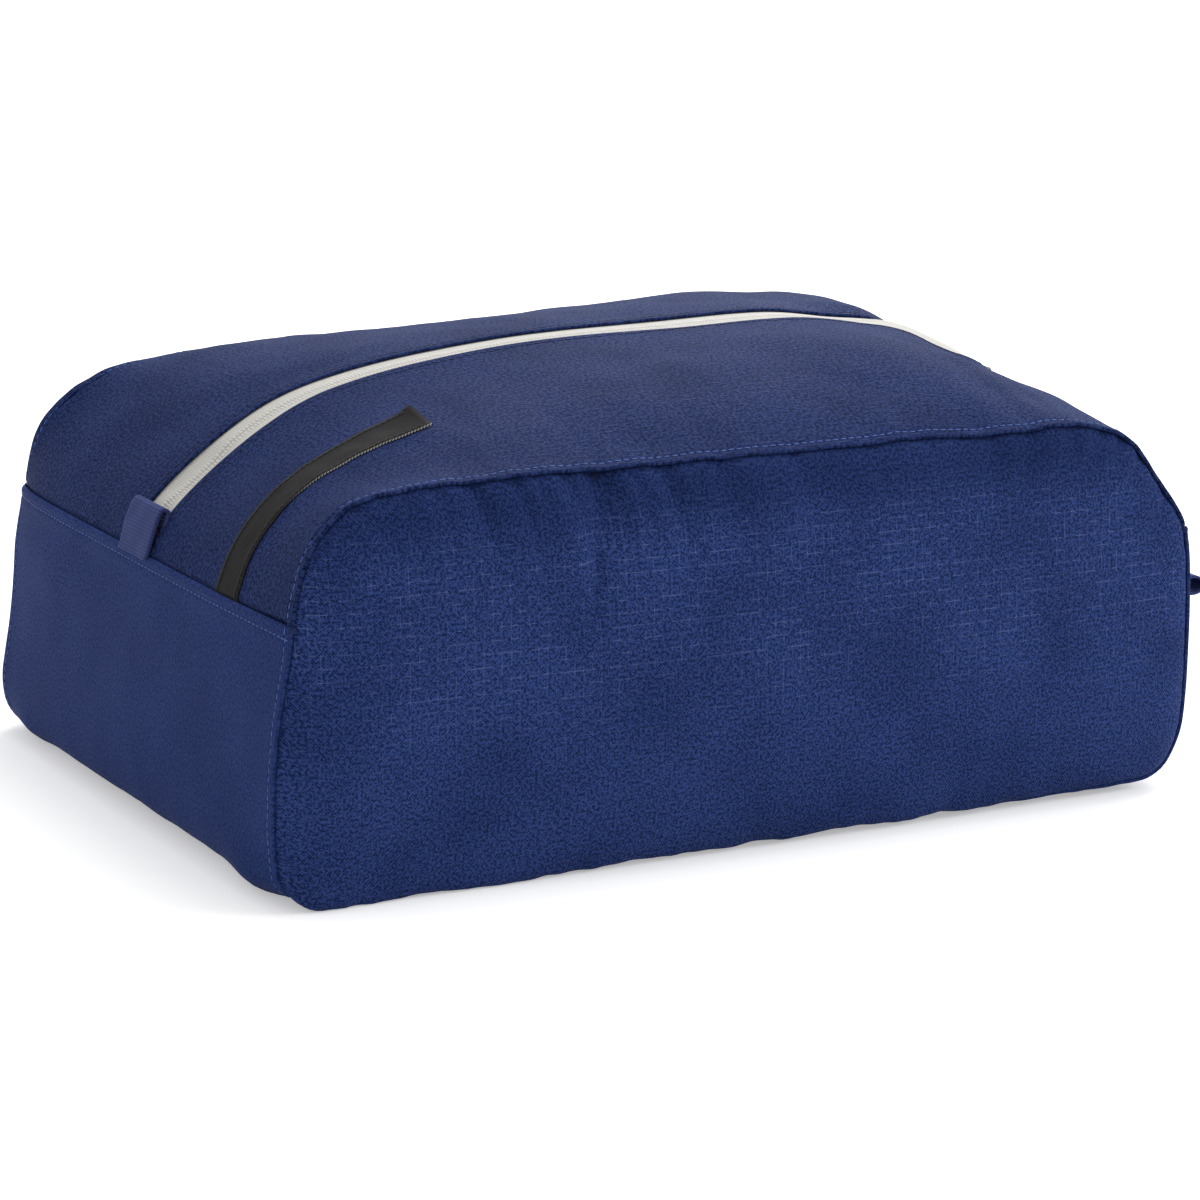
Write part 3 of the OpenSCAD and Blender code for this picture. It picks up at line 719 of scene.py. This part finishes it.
def bendWithFlap(piece):
    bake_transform(piece)


def fasten(piece, body, slot, *nodes):
    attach(piece, body)
    if nodes:
        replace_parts(piece, *nodes)


topCloth = {half: makeTop(half) for half in halves}
shareHalves({half: made[0] for half, made in topCloth.items()})
for half, (_, side, end) in halves.items():
    bendWithFlap(topCloth[half][0])
    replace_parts(topCloth[half][0], side + "_top_panel", side + "_" + end + "_shoulder")
print("top panels sewn")


# The base gusset runs down the left end, along the bottom and up the right end; way is how far along it.
gussetLook = {
    "bowHeights": (2.2, 10, 20, 50, 75, 84.4), "leftBow": (1.8, 2.8, 2.4, 1.8, 3.4, 4.55),
    "rightBow": (1.5, 2.0, 2.0, 1.8, 1.6, 1.3), "fullness": 2.4, "seamReach": 25,
    "relief": ((0.9, 55, 15, 15, 12), (0.3, 14, 15, 15, 12)), "folds": (480, 15, 0.5, 3.4, 9),
    "cornerThin": 0.8, "cornerReach": 4,
    "cornerPuff": 3.2, "puffAway": 20, "puffWidth": 16, "puffHeight": 5, "puffRise": 9, "puffBefore": -130,
    "middleRows": 96, "rowGap": 2.1, "floorGap": 0.15,
}
gussetLength = {side: seams[side]["length"] - seams[side]["marks"][3] for side in (-1, 1)}
meanGusset = (gussetLength[-1] + gussetLength[1]) / 2


def gussetRim(side, way):
    return seamPoint(side, seams[side]["length"] - way * gussetLength[side] / meanGusset)


def gussetSurface(way, across):
    front, rear = gussetRim(-1, way), gussetRim(1, way)
    ahead = gussetRim(-1, way + 4) + gussetRim(1, way + 4) - gussetRim(-1, way - 4) - gussetRim(1, way - 4)
    out = unit(np.stack([ahead[:, 2], np.zeros(len(way)), -ahead[:, 0]], -1))
    middle = (front + rear) / 2
    leftBow, rightBow = (np.interp(middle[:, 2], gussetLook["bowHeights"], gussetLook[bow])
                         for bow in ("leftBow", "rightBow"))
    middle = middle + out * np.where(middle[:, 0] < 0, leftBow, rightBow)[:, None]
    middle[:, 1] = 0
    atSeam = np.exp(-np.minimum(np.abs(way), np.abs(meanGusset - way)) / gussetLook["seamReach"])[:, None]
    onFront = across < 0
    nearest = np.where(way < meanGusset / 2, 0.0, 3.0)
    atEnd = np.where(onFront, fullness(-1, nearest)[:, None], fullness(1, nearest)[:, None])
    share = np.abs(across) ** (atEnd * atSeam + gussetLook["fullness"] * (1 - atSeam))
    rim = np.where(onFront[..., None], front[:, None], rear[:, None])
    points = middle[:, None] + (rim - middle[:, None]) * share[..., None]
    points[..., 1] = rim[..., 1] * np.abs(across)
    return points


def gussetNormals(way, across):
    along = gussetSurface(way + 1, across) - gussetSurface(way - 1, across)
    over = gussetSurface(way, across + 0.01) - gussetSurface(way, across - 0.01)
    return unit(np.cross(over, along))


def makeGusset():
    look = gussetLook
    rows = np.linspace(endD[-1], meanGusset - endD[-1], int(meanGusset / look["rowGap"]))[1:-1]
    ways = np.concatenate([endD, rows, meanGusset - endD[::-1]])
    endLift = np.concatenate([endH, np.zeros(len(rows)), endH[::-1]])[:, None]
    share = np.linspace(-1, 1, 261)[None, :].repeat(len(ways), 0)
    share[:, [0, -1]] = (-0.9999, 0.9999)
    grid, normals = gussetSurface(ways, share), gussetNormals(ways, share)
    width = rowWidths(grid)
    middle = np.linspace(0, 1, look["middleRows"])[None, 1:-1]
    distances = np.hstack([np.repeat(seamD[None], len(ways), 0), seamD[-1] + (width - 2 * seamD[-1]) * middle,
                           width - seamD[None, ::-1]])
    cornerAway = np.maximum(np.minimum(distances, width - distances), 0)
    heights = (np.concatenate([seamH, np.zeros(middle.size), seamH[::-1]])[None]
               + endLift * (1 - look["cornerThin"] * np.exp(-cornerAway / look["cornerReach"])))
    flat, _ = layOut(grid, normals, distances, heights * 0)
    endAway = np.maximum(np.minimum(ways, meanGusset - ways), 0)[:, None]
    frontAway, rearAway = np.maximum(distances, 0), np.maximum(width - distances, 0)
    heights += relief(flat, look["relief"], 6, frontAway, rearAway, endAway)
    lowLeft = hump(flat[..., 2], look["puffHeight"], look["puffRise"]) * (flat[..., 0] < look["puffBefore"])
    for side, away, puff in ((-1, frontAway, 1.0), (1, rearAway, 0.5)):
        heights += puckers(ways[:, None], away, randomFolds(40 + side, *look["folds"]))
        heights += look["cornerPuff"] * puff * lowLeft * hump(away, look["puffAway"], look["puffWidth"])
    points, ups = layOut(grid, normals, distances, heights)
    points[..., 2] = np.maximum(points[..., 2], look["floorGap"])
    uv = pairUp(ways[:, None], distances)
    fasten(sheet("baseGusset", points, ups, uv, cloth["thickness"], gussetCloth, insideCoating),
           "bag", "navy_twill", "base_gusset")
    return points, ups


gussetPoints, gussetUps = makeGusset()
print("gusset sewn")


# A side panel fills its seam's loop and swells out past it; low down it rolls out over the seam.
panelLook = {
    -1: {"corners": ((-150.4, 110.4), (142, 109.9), (156.5, 9.5), (-158.5, 7.7)), "swell": (9.0, 10.0, 5.0),
         "droop": (2.8, 2.5, 1.7, 1.3, 0.4), "lowPuff": (2.6, 1.6, 0), "columns": 250, "rows": 112,
         "seed": 21},
    1: {"corners": ((-149, 110), (150, 110.1), (155.5, 9.5), (-158.5, 7.4)), "swell": (8.0, 8.5, 7.0),
        "droop": (1.4, 1.4, 1.4, 1.4, 1.0), "lowPuff": (0, 0, 0), "columns": 200, "rows": 90, "seed": 31},
}
# The same on both: a crisp edge lifts and tucks, a belly swells low down, and folds run in from the seam.
panelShape = {"size": (300, 116), "edgeLift": 0.8, "edgeLiftReach": 2, "edgeTuck": 3.4, "edgeTuckReach": 1.6,
              "belly": 2.5, "bellyHeight": 26, "bellyReach": 14, "lowHeight": 22, "lowPuffHeight": 10,
              "softness": 13, "foldsFrom": 42, "folds": (9, 0.75, 2.6, 7), "roll": 0.25, "rollReach": 8,
              "relief": ((1.3, 58, 16), (0.35, 16, 5)), "floorGap": 0.3}
edgeSteps = np.array([0, 0.35, 0.75, 1.2, 1.8, 2.5, 3.4, 4.4, 5.6, 7.0, 8.5])
# Gathers under the top front seam: place along the bag, depth, width, reach and slant.
gathers = [
    (-139, 2.2, 2.6, 9, 0.5), (-128, 1.4, 2.4, 8, -0.2), (-112, 1.8, 2.6, 9, 0.1),
    (-100, 3.0, 3.4, 18, 0.22), (-86, 2.9, 3.2, 18, 0.25), (-78, 1.6, 2.4, 11, 0.1),
    (-68.5, 3.0, 3.0, 18, 0.25), (-56, 6.4, 5.8, 46, -0.13), (-46, 1.9, 2.8, 13, 0.1),
    (-35.5, 3.0, 3.4, 19, 0.2), (-17, 1.5, 4.0, 15, 0.15), (11, 1.4, 4.5, 16, 0.1),
    (38, 1.3, 5.0, 15, 0.1), (84, 1.2, 3.6, 13, -0.2), (99, 1.3, 3.0, 10, -0.4),
    (116, 1.6, 3.0, 12, -0.6), (127, 2.0, 3.0, 12, -0.5), (134, 2.4, 3.2, 13, -0.2),
    (141, 2.0, 3.0, 12, 0.2), (150, 1.6, 3.0, 10, 0.4),
]


def clustered(length, count):
    inner = np.linspace(edgeSteps[-1], length - edgeSteps[-1], count - 2 * len(edgeSteps) + 2)
    return np.concatenate([edgeSteps, inner[1:-1], length - edgeSteps[::-1]]) / length


# The panel's grid in x and z, filled in between four runs of its seam.
def panelGrid(side):
    look, seam = panelLook[side], seams[side]
    loop = seam["points"][:, [0, 2]]
    topLeft, topRight, lowRight, lowLeft = (seam["way"][np.argmin(np.hypot(loop[:, 0] - x, loop[:, 1] - z))]
                                            for x, z in look["corners"])

    def edge(start, end, t):
        return seamPoint(side, start + (end - start) * t)[..., [0, 2]]

    u, v = (clustered(size, look[kind]) for size, kind in zip(panelShape["size"], ("columns", "rows")))
    top, bottom = edge(topLeft, topRight, u)[None], edge(lowLeft, lowRight, u)[None]
    left, right = edge(lowLeft, seam["length"] + topLeft, v)[:, None], edge(lowRight, topRight, v)[:, None]
    u, v = u[None, :, None], v[:, None, None]
    low, high = ((1 - u) * row[:, :1] + u * row[:, -1:] for row in (bottom, top))
    return (1 - v) * bottom + v * top + (1 - u) * left + u * right - ((1 - v) * low + v * high)


# How far each point lies from the seam, the way in from there, and the nearest place along the seam.
def fromSeam(side, flat):
    fineWay = np.arange(0, seams[side]["length"], 0.25)
    finePoints = seamPoint(side, fineWay)
    tree = kdtree.KDTree(len(fineWay))
    for i, p in enumerate(finePoints):
        tree.insert((p[0], p[2], 0), i)
    tree.balance()
    nearest = np.array([tree.find((p[0], p[1], 0))[1] for p in flat.reshape(-1, 2)]).reshape(flat.shape[:2])
    inward = flat - finePoints[nearest][..., [0, 2]]
    away = np.linalg.norm(inward, axis=-1)
    away[[0, -1]] = 0
    away[:, [0, -1]] = 0
    return away, unit(inward), fineWay[nearest]


def makePanel(name, side, node):
    look, shape, seam = panelLook[side], panelShape, seams[side]
    flat = panelGrid(side)
    x, z = flat[..., 0], flat[..., 1]
    away, inward, along = fromSeam(side, flat)
    low = np.clip(inward[..., 1], 0, 1) * np.exp(-z / shape["lowHeight"])
    swell = np.interp(x, [-130, 0, 130], look["swell"])
    droop = np.interp(x, [-140, -90, -20, 60, 140], look["droop"])
    soft = shape["softness"] - np.clip(droop, 0, 2.4) * 4 * low
    out = swell * rising(away, soft) + shape["edgeLift"] * rising(away, shape["edgeLiftReach"])
    out -= shape["edgeTuck"] * np.exp(-away / shape["edgeTuckReach"])
    belly = shape["belly"] * hump(z, shape["bellyHeight"], shape["bellyHeight"])
    out += belly * rising(away, shape["bellyReach"])
    out += np.interp(x, [-150, -100, -60], look["lowPuff"]) * hump(z, 0, shape["lowPuffHeight"])
    out += relief(np.stack([x, np.zeros(x.shape), z], -1), shape["relief"], look["seed"], away)
    folds = randomFolds(look["seed"], seam["length"], *shape["folds"])
    if side < 0:
        half = len(seam["way"]) // 2
        for place, depth, *form in gathers:
            folds.append((np.interp(place, seam["points"][:half, 0], seam["way"][:half]), -depth, *form))
    out += (1 - 1 / (1 + np.exp(-(away - shape["foldsFrom"]) / 4))) * puckers(along, away, folds)
    roll = (shape["roll"] + droop * low) * away * np.exp(-away / shape["rollReach"])
    flat = flat - inward * roll[..., None]
    x, z = flat[..., 0], flat[..., 1]
    points = np.stack([x, side * (seamDepth(z) + out), np.maximum(z, shape["floorGap"])], -1)
    normals = np.zeros(points.shape)
    normals[..., 1] = side
    fasten(sheet(name, points, normals, flat, cloth["thickness"], sideTwill, insideCoating),
           "bag", "navy_twill", node)


makePanel("frontSidePanel", -1, "front_side_panel")
makePanel("rearSidePanel", 1, "rear_side_panel")
print("side panels sewn")


# Zip tapes lie under the folded edges; the coil's two rows of turns hang under them. Tape is by distance from
# the middle and height. Slider room is by place, depth and reach, and fades out between two such distances.
zipLook = {
    "tape": ((0.14, -2.2), (0.14, -1.1), (0.35, -0.82), (0.9, -0.76), (1.7, -0.75), (2.3, -0.78),
             (2.75, -0.9), (3.3, -0.94), (5.0, -0.92), (7.0, -0.94), (9.0, -1.06), (11.6, -1.2)),
    "tapeThickness": 0.5,
    "tapeGap": 2.4,
    "coilGap": 1.0,
    "partGap": 1.4,
    "partReach": 0.0175,
    "coilOut": 1.12,
    "coilDepth": 2.65,
    "coilPitch": 1.27,
    "endTuck": 1.6,
    "bulge": {"place": 126.0, "height": 2.0, "long": 18.0, "wide": 8.6},
    "sliderRoom": ((-139.5, 1.5, 9.0), (154.3, 0.75, 5.0)),
    "roomTo": (9, 5.5),
    "sinkOver": (3, 8.8),
}


# The two tapes part at the slider, over a short run of stations.
def parting(stations):
    near = zipLook["partReach"]
    return zipLook["partGap"] * np.clip((stations - cube["sliderStation"] + near) / (2 * near), 0, 1)


# Points on the zip's strip, which is pressed down where the slider stops at either end.
def stripRow(side, stations, across, height):
    rim = np.abs(seamPoint(side, stationWay(side, stations))[:, 1:2])
    share = (across + parting(stations)[:, None]) / rim
    ups = topNormals(side, stations, share)
    x = zipLine(stations)[0]
    room = sum(depth * np.exp(-((x - place) / reach) ** 4) for place, depth, reach in zipLook["sliderRoom"])
    far, near = zipLook["roomTo"]
    pressed = room[:, None] * np.clip((far - across) / (far - near), 0, 1)
    return topSurface(side, stations, share) + ups * (height - pressed[..., None]), ups


def makeTape(half):
    side, _, end = halves[half]
    stations, along, endAway = makeStations(side, end, zipLook["tapeGap"])
    across, height = np.array(zipLook["tape"]).T[:, None]
    x, bulge = zipLine(stations)[0][:, None], zipLook["bulge"]
    height = height - zipLook["endTuck"] * hump(endAway, 0, 3)
    over = np.maximum(1 - (across / bulge["wide"]) ** 2, 0)
    height += bulge["height"] * hump(x, bulge["place"], bulge["long"]) * over
    if side < 0:
        near, far = zipLook["sinkOver"]
        height += np.minimum(lookUp(x, cloth["lipRise"]), 0) * np.clip((across - near) / (far - near), 0, 1)
    points, ups = stripRow(side, stations, across, height[..., None])
    uv = pairUp(along, side * across)
    piece = sheet(half.replace("Top", "Tape"), points, ups, uv, zipLook["tapeThickness"], zipWeave)
    bendWithFlap(piece)
    return piece


def makeCoil(half, pattern):
    side, _, end = halves[half]
    stations, _, _ = makeStations(side, end, zipLook["coilGap"])
    centre, ups = stripRow(side, stations, np.full((1, 1), zipLook["coilOut"]), -zipLook["coilDepth"])
    start = 1.5 + (zipLook["coilPitch"] / 2 if side > 0 else 0.0)
    piece = repeated(half.replace("Top", "Coil"), pattern,
                     *evenly(centre[:, 0], ups[:, 0], zipLook["coilPitch"], start), coilNylon)
    bendWithFlap(piece)
    return piece


def stretched(x, y, z):
    piece = bpy.context.object
    for vertex in piece.data.vertices:
        vertex.co = (vertex.co.x * x, vertex.co.y * y, vertex.co.z * z)
    return piece


bpy.ops.object.select_all(action="DESELECT")
bpy.ops.mesh.primitive_torus_add(major_segments=9, minor_segments=5, major_radius=mm, minor_radius=0.3 * mm)
bpy.ops.object.mode_set(mode="EDIT")
bpy.ops.mesh.select_all(action="SELECT")
bpy.ops.transform.rotate(value=math.pi / 2, orient_axis="Y", center_override=(0, 0, 0))
bpy.ops.object.mode_set(mode="OBJECT")
coilTurn = stretched(0.95, 1.0, 0.72)
bpy.ops.mesh.primitive_uv_sphere_add(segments=6, ring_count=5, radius=mm)
stitch = stretched(1.15, 0.23, 0.18)

tapes = {half: makeTape(half) for half in halves}
shareHalves(tapes)
for half, (_, side, end) in halves.items():
    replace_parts(tapes[half], side + "_zip_tape", end + "_tape_ends")
    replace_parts(makeCoil(half, coilTurn), side + "_zip_coil", end + "_coil_ends")
print("zip laid")


def sewRow(name, line, ups, material=sewingThread, start=1.4, pitch=2.8, lift=0.22):
    return repeated(name, stitch, *evenly(line + ups * lift, ups, pitch, start), material)


topRows = {"Seam": (seamStitchRow, sewingThread), "Zip": (-1 - zipStitchRow, zipThread)}
for half, (_, points, ups) in topCloth.items():
    sewn = slice(2, None) if half.endswith("Left") else slice(None, -2)
    for row, (column, material) in topRows.items():
        thread = sewRow(half + row + "Thread", points[sewn, column], ups[sewn, column], material)
        bendWithFlap(thread)
gussetRows = {
    "gussetFront": (slice(3, -3), seamStitchRow), "gussetRear": (slice(3, -3), -1 - seamStitchRow),
    "leftEnd": (endStitchRow, slice(4, -4)), "rightEnd": (-1 - endStitchRow, slice(4, -4)),
}
for name, row in gussetRows.items():
    fasten(sewRow(name + "Thread", gussetPoints[row], gussetUps[row]), "bag", "navy_twill")
print("topstitching done")


# The label lies on the front panel beside the zip; its lower end is caught in the end seam.
labelLook = {"atSeam": -62.5, "atEnd": -52.5, "middle": -67.0, "width": 16.0, "right": -88.9,
             "thickness": 0.35, "lift": 2.9, "liftReach": 5.5, "clearance": 0.55, "wrinkle": 0.18,
             "stitches": {"start": 1.0, "pitch": 2.2, "lift": 0.1}}


# The cloth of a top half at the given y in each of its rows.
def onSheet(points, ups, across):
    inner = slice(len(seamD), points.shape[1] - len(zipD))
    laid, turned = (np.array([sample(y, row[inner, 1], field[inner])
                              for y, row, field in zip(across, points, fields)]) for fields in (points, ups))
    return laid, unit(turned)


def makeLabel():
    look = labelLook
    _, points, ups = topCloth["frontTopLeft"]
    middle, _ = onSheet(points, ups, np.full((len(points), 1), look["middle"]))
    last = int(np.argmax(middle[:, 0, 0] > look["right"]))
    share = np.linspace(0, 1, last)[:, None]
    fromNear = np.linspace(look["width"], 0, 21)[None]
    across = look["atSeam"] + (look["atEnd"] - look["atSeam"]) * share - fromNear
    surface, turned = onSheet(points[:last], ups[:last], across)
    along = lengthAlong(surface[:, 10])[:, None]
    lift = look["lift"] * np.exp(-(along[-1] - along) / look["liftReach"])
    height = look["clearance"] + lift * (1 - 0.8 * fromNear / look["width"])
    height = height + look["wrinkle"] * unevenness(surface, 6, 44)
    laid = surface + turned * height[..., None]
    piece = sheet("labelStrip", laid, turned, pairUp(along, fromNear), look["thickness"], labelWeave)
    bendWithFlap(piece)
    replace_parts(piece, "label_strip")
    for name, column in (("labelFarThread", 2), ("labelNearThread", 18)):
        thread = sewRow(name, laid[2:-1, column], turned[2:-1, column], labelThread, **look["stitches"])
        bendWithFlap(thread)


makeLabel()
print("label sewn")


stripLook = {"step": 0.45, "stepAcross": 0.8, "bend": 0.25, "bendSize": 7, "sway": 0.2, "swaySize": 5}


# A folded strip of webbing or ribbon: its outline is a path in x and z, and y runs across it.
def foldedStrip(name, path, width, centre, lean, thickness, seed):
    path = np.array(path, float)
    way = lengthAlong(path)
    even = np.linspace(0, way[-1], int(way[-1] / stripLook["step"]))
    x, z = sample(even, way, path).T[..., None]
    across = np.linspace(-width / 2, width / 2, int(width / stripLook["stepAcross"]) + 1)
    flat = np.stack(np.broadcast_arrays(x, across, z), -1)
    flat[..., 0] += stripLook["bend"] * unevenness(flat, stripLook["bendSize"], seed)
    flat[..., 1] += stripLook["sway"] * unevenness(flat, stripLook["swaySize"], seed + 1)
    x, y, z = np.moveaxis(flat, -1, 0)
    c, s = math.cos(math.radians(lean)), math.sin(math.radians(lean))
    turned = np.stack([centre[0] + x * c + z * s, y + centre[1], centre[2] - x * s + z * c], -1)
    normals = unit(np.cross(np.gradient(turned, axis=0), np.gradient(turned, axis=1)))
    return sheet(name, turned, normals, pairUp(y, even[:, None]), thickness, loopWebbing)


# The loop's outer face goes up, over the fold and down; it puffs a little on its way.
loopLook = {"root": (-159.0, 0.0, 87.2), "lean": 20.0, "width": 21.8, "thickness": 1.2, "halfGap": 2.0,
            "length": 12.2, "below": 3.5, "outerPuff": 0.35, "innerPuff": 0.2}


def loopPath():
    half, length = loopLook["halfGap"], loopLook["length"]
    rise = np.linspace(-loopLook["below"], length, 24)
    puff = [math.sin(math.pi * max(z, 0) / length) for z in rise]
    outer = [(-half - loopLook["outerPuff"] * bow, z) for bow, z in zip(puff, rise)]
    over = [(-half * math.cos(a), length + half * 0.95 * math.sin(a))
            for a in np.linspace(0, math.pi, 15)[1:-1]]
    inner = [(half + loopLook["innerPuff"] * bow, z) for bow, z in zip(puff[::-1], rise[::-1])]
    return outer + over + inner


loop = foldedStrip("endLoop", loopPath(), loopLook["width"], loopLook["root"], loopLook["lean"],
                   loopLook["thickness"], 51)
fasten(loop, "left_loop", "webbing", "left_end_loop")

# The tab's ribbon leaves the seam, swells into an eye and folds back at its tip.
tabLook = {"thickness": 0.7, "shorter": 3.4, "lower": 1.4, "rootIn": 0.6, "gap": 0.5, "tip": 0.55}


def tabPath(length, height):
    lower = [(length * k, -height / 2 * math.sin(math.pi * k ** 0.9) ** 0.8 - tabLook["gap"])
             for k in np.linspace(0, 1, 26)]
    tip = [(length + tabLook["tip"] * math.sin(a), -tabLook["gap"] * math.cos(a))
           for a in np.linspace(0, math.pi, 7)[1:-1]]
    return lower + tip + [(x, -z) for x, z in lower[::-1]]


tabLow, tabHigh = (np.array(corner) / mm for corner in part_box("right_end_tab"))
tabSize, tabMiddle = tabHigh - tabLow, (tabLow + tabHigh) / 2
tabRoot = (tabLow[0] + tabLook["rootIn"], tabMiddle[1], tabMiddle[2])
tab = foldedStrip("endTab", tabPath(tabSize[0] - tabLook["shorter"], tabSize[2] - tabLook["lower"]),
                  tabSize[1], tabRoot, 0.0, tabLook["thickness"], 61)
fasten(tab, "right_tab", "webbing", "right_end_tab")
print("loop and tab folded")


# The slider and its pull keep their made shapes, with every sharp edge broken.
def brokenEdges(node, name, body, width):
    piece = addObject(name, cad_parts[node].data.copy())
    only(piece)
    bpy.ops.object.mode_set(mode="EDIT")
    bpy.ops.mesh.select_all(action="SELECT")
    bpy.ops.mesh.remove_doubles(threshold=0.004 * mm)
    bpy.ops.mesh.dissolve_limited(angle_limit=math.radians(2))
    bpy.ops.mesh.normals_make_consistent(inside=False)
    bpy.ops.object.mode_set(mode="OBJECT")
    bevel = piece.modifiers.new("edges", "BEVEL")
    bevel.width = width * mm
    bevel.segments = 2
    bevel.limit_method = "ANGLE"
    bevel.angle_limit = math.radians(38)
    bpy.ops.object.modifier_apply(modifier=bevel.name)
    bpy.ops.object.shade_smooth_by_angle(angle=math.radians(32))
    fasten(dress(piece, sliderEnamel), body, "slider_metal", node)


brokenEdges("zip_slider", "zipSlider", "slider", 0.16)
brokenEdges("slider_pull", "sliderPull", "pull", 0.14)

# Binding tape is folded over each raw seam edge inside the bag.
bindingLook = {"thickness": 0.3, "sideDepth": 2.3, "endDepth": 2.6, "endIn": 1.9, "endShare": 0.88}
bindingIn, bindingOver = np.array([
    (2.9, 0.0), (6.0, 0.05), (9.5, 0.0), (11.3, 0.05), (11.75, -0.45), (11.3, -0.95), (9.5, -1.0),
    (6.0, -0.95), (2.9, -1.0)]).T
bindingFace = np.where(np.arange(len(bindingIn)) < 5, 1, -1)


def bind(name, points, normals, uv, node):
    fasten(sheet(name, points, normals, uv, bindingLook["thickness"], seamTape),
           "bag", "binding_tape", node)


def sideBinding(name, side, node):
    ways = np.append(np.arange(0, seams[side]["length"], 3.0), seams[side]["length"])
    rim, ahead = seamPoint(side, ways), seamPoint(side, ways + 3) - seamPoint(side, ways - 3)
    inward = unit(np.stack([ahead[:, 2], np.zeros(len(ways)), -ahead[:, 0]], -1))
    points = rim[:, None] + inward[:, None] * bindingIn[None, :, None]
    points[..., 1] = side * (seamDepth(points[..., 2]) - bindingLook["sideDepth"] + bindingOver[None])
    normals = np.zeros(points.shape)
    normals[..., 1] = side * bindingFace
    bind(name, points, normals, pairUp(bindingIn[None], ways[:, None]), node)


def endBinding(name, atStart, node):
    reach = bindingIn - bindingLook["endIn"]
    ways = reach if atStart else meanGusset - reach
    share = np.linspace(-bindingLook["endShare"], bindingLook["endShare"], 90)[None].repeat(len(ways), 0)
    normals = gussetNormals(ways, share)
    points = gussetSurface(ways, share) + normals * (bindingOver[:, None, None] - bindingLook["endDepth"])
    bind(name, points, normals * bindingFace[:, None, None], pairUp(bindingIn[:, None], share * 112), node)


sideBinding("frontBinding", -1, "front_seam_binding")
sideBinding("rearBinding", 1, "rear_seam_binding")
endBinding("leftBinding", True, "left_seam_binding")
endBinding("rightBinding", False, "right_seam_binding")
for pattern in (coilTurn, stitch):
    bpy.data.objects.remove(pattern)
print("slider and bindings done")

# Camera angles in degrees and offsets in millimetres; the frame is taken as 1200 pixels square.
view = {"focalPixels": 4411.0, "framePixels": 1200.0, "elevation": 13.44, "azimuth": -28.22, "roll": 0.9,
        "right": 4.95, "up": 48.4, "distance": 1460.0, "scale": 121 / 120, "rise": 3.5}


def placeCamera():
    azimuth, elevation, roll = (math.radians(view[k]) for k in ("azimuth", "elevation", "roll"))
    ahead = -Vector((math.sin(azimuth) * math.cos(elevation), -math.cos(azimuth) * math.cos(elevation),
                     math.sin(elevation)))
    right = ahead.cross(Vector((0, 0, 1))).normalized()
    up = right.cross(ahead)
    camRight = right * math.cos(roll) + up * math.sin(roll)
    camUp = up * math.cos(roll) - right * math.sin(roll)
    place = (camRight * view["right"] + camUp * view["up"] - ahead * view["distance"]) * view["scale"] * mm
    place.z += view["rise"] * mm
    data = bpy.data.cameras.new("camera")
    data.sensor_width = 36.0
    data.lens = view["focalPixels"] / view["framePixels"] * data.sensor_width
    camera = addObject("camera", data)
    turn = Matrix((camRight, camUp, -ahead)).transposed().to_4x4()
    camera.matrix_world = Matrix.Translation(place) @ turn
    bpy.context.scene.camera = camera


placeCamera()

# The background is brighter to the camera and in reflections than the light it gives; so is the floor.
studio = {
    "ambient": 0.62, "background": 1.0, "floor": (0.93, 0.93, 0.93), "floorLift": 0.38,
    "lamps": {
        "overhead": {"place": (0.45, 0.25, 1.5), "aim": (0, 0, 0.08), "size": 1.3, "power": 15},
        "right": {"place": (1.7, -1.0, 1.0), "aim": (0, 0, 0.06), "size": 0.8, "power": 14},
        "behind": {"place": (0.9, 1.1, 0.8), "aim": (0, 0, 0.1), "size": 0.9, "power": 6},
    },
}


# 1 where the camera or a reflection sees the surface, and 0 where it only lights something.
def seenStraight(owner):
    path = addNode(owner, "LightPath", {}).outputs
    return sums("MAXIMUM", path["Is Camera Ray"], path["Is Glossy Ray"])


def lightStudio():
    for name, lamp in studio["lamps"].items():
        data = bpy.data.lights.new(name, "AREA")
        data.shape = "SQUARE"
        data.size = lamp["size"]
        data.energy = lamp["power"]
        piece = addObject(name, data)
        piece.location = lamp["place"]
        aim = Vector(lamp["aim"]) - Vector(lamp["place"])
        piece.rotation_euler = aim.to_track_quat("-Z", "Y").to_euler()
    world = bpy.data.worlds.new("studio")
    bpy.context.scene.world = world
    world.use_nodes = True
    back = world.node_tree.nodes["Background"]
    strength = addNode(back, "MapRange", {"Value": seenStraight(back), "To Min": studio["ambient"],
                                          "To Max": studio["background"]})
    put(back.inputs["Color"], (1.0, 1.0, 1.0))
    put(back.inputs["Strength"], strength.outputs["Result"])
    bpy.context.scene.view_settings.view_transform = "Standard"


def layFloor():
    bpy.ops.object.select_all(action="DESELECT")
    bpy.ops.mesh.primitive_plane_add(size=12)
    floor = bpy.context.object
    floor.name = "floor"
    material, shader = newMaterial("floorPaint", 0.9)
    put(shader.inputs["Base Color"], studio["floor"])
    put(shader.inputs["Emission Color"], (1.0, 1.0, 1.0))
    put(shader.inputs["Emission Strength"], times(seenStraight(shader), studio["floorLift"]))
    dress(floor, material)


lightStudio()
layFloor()
print("camera, lights and floor placed")
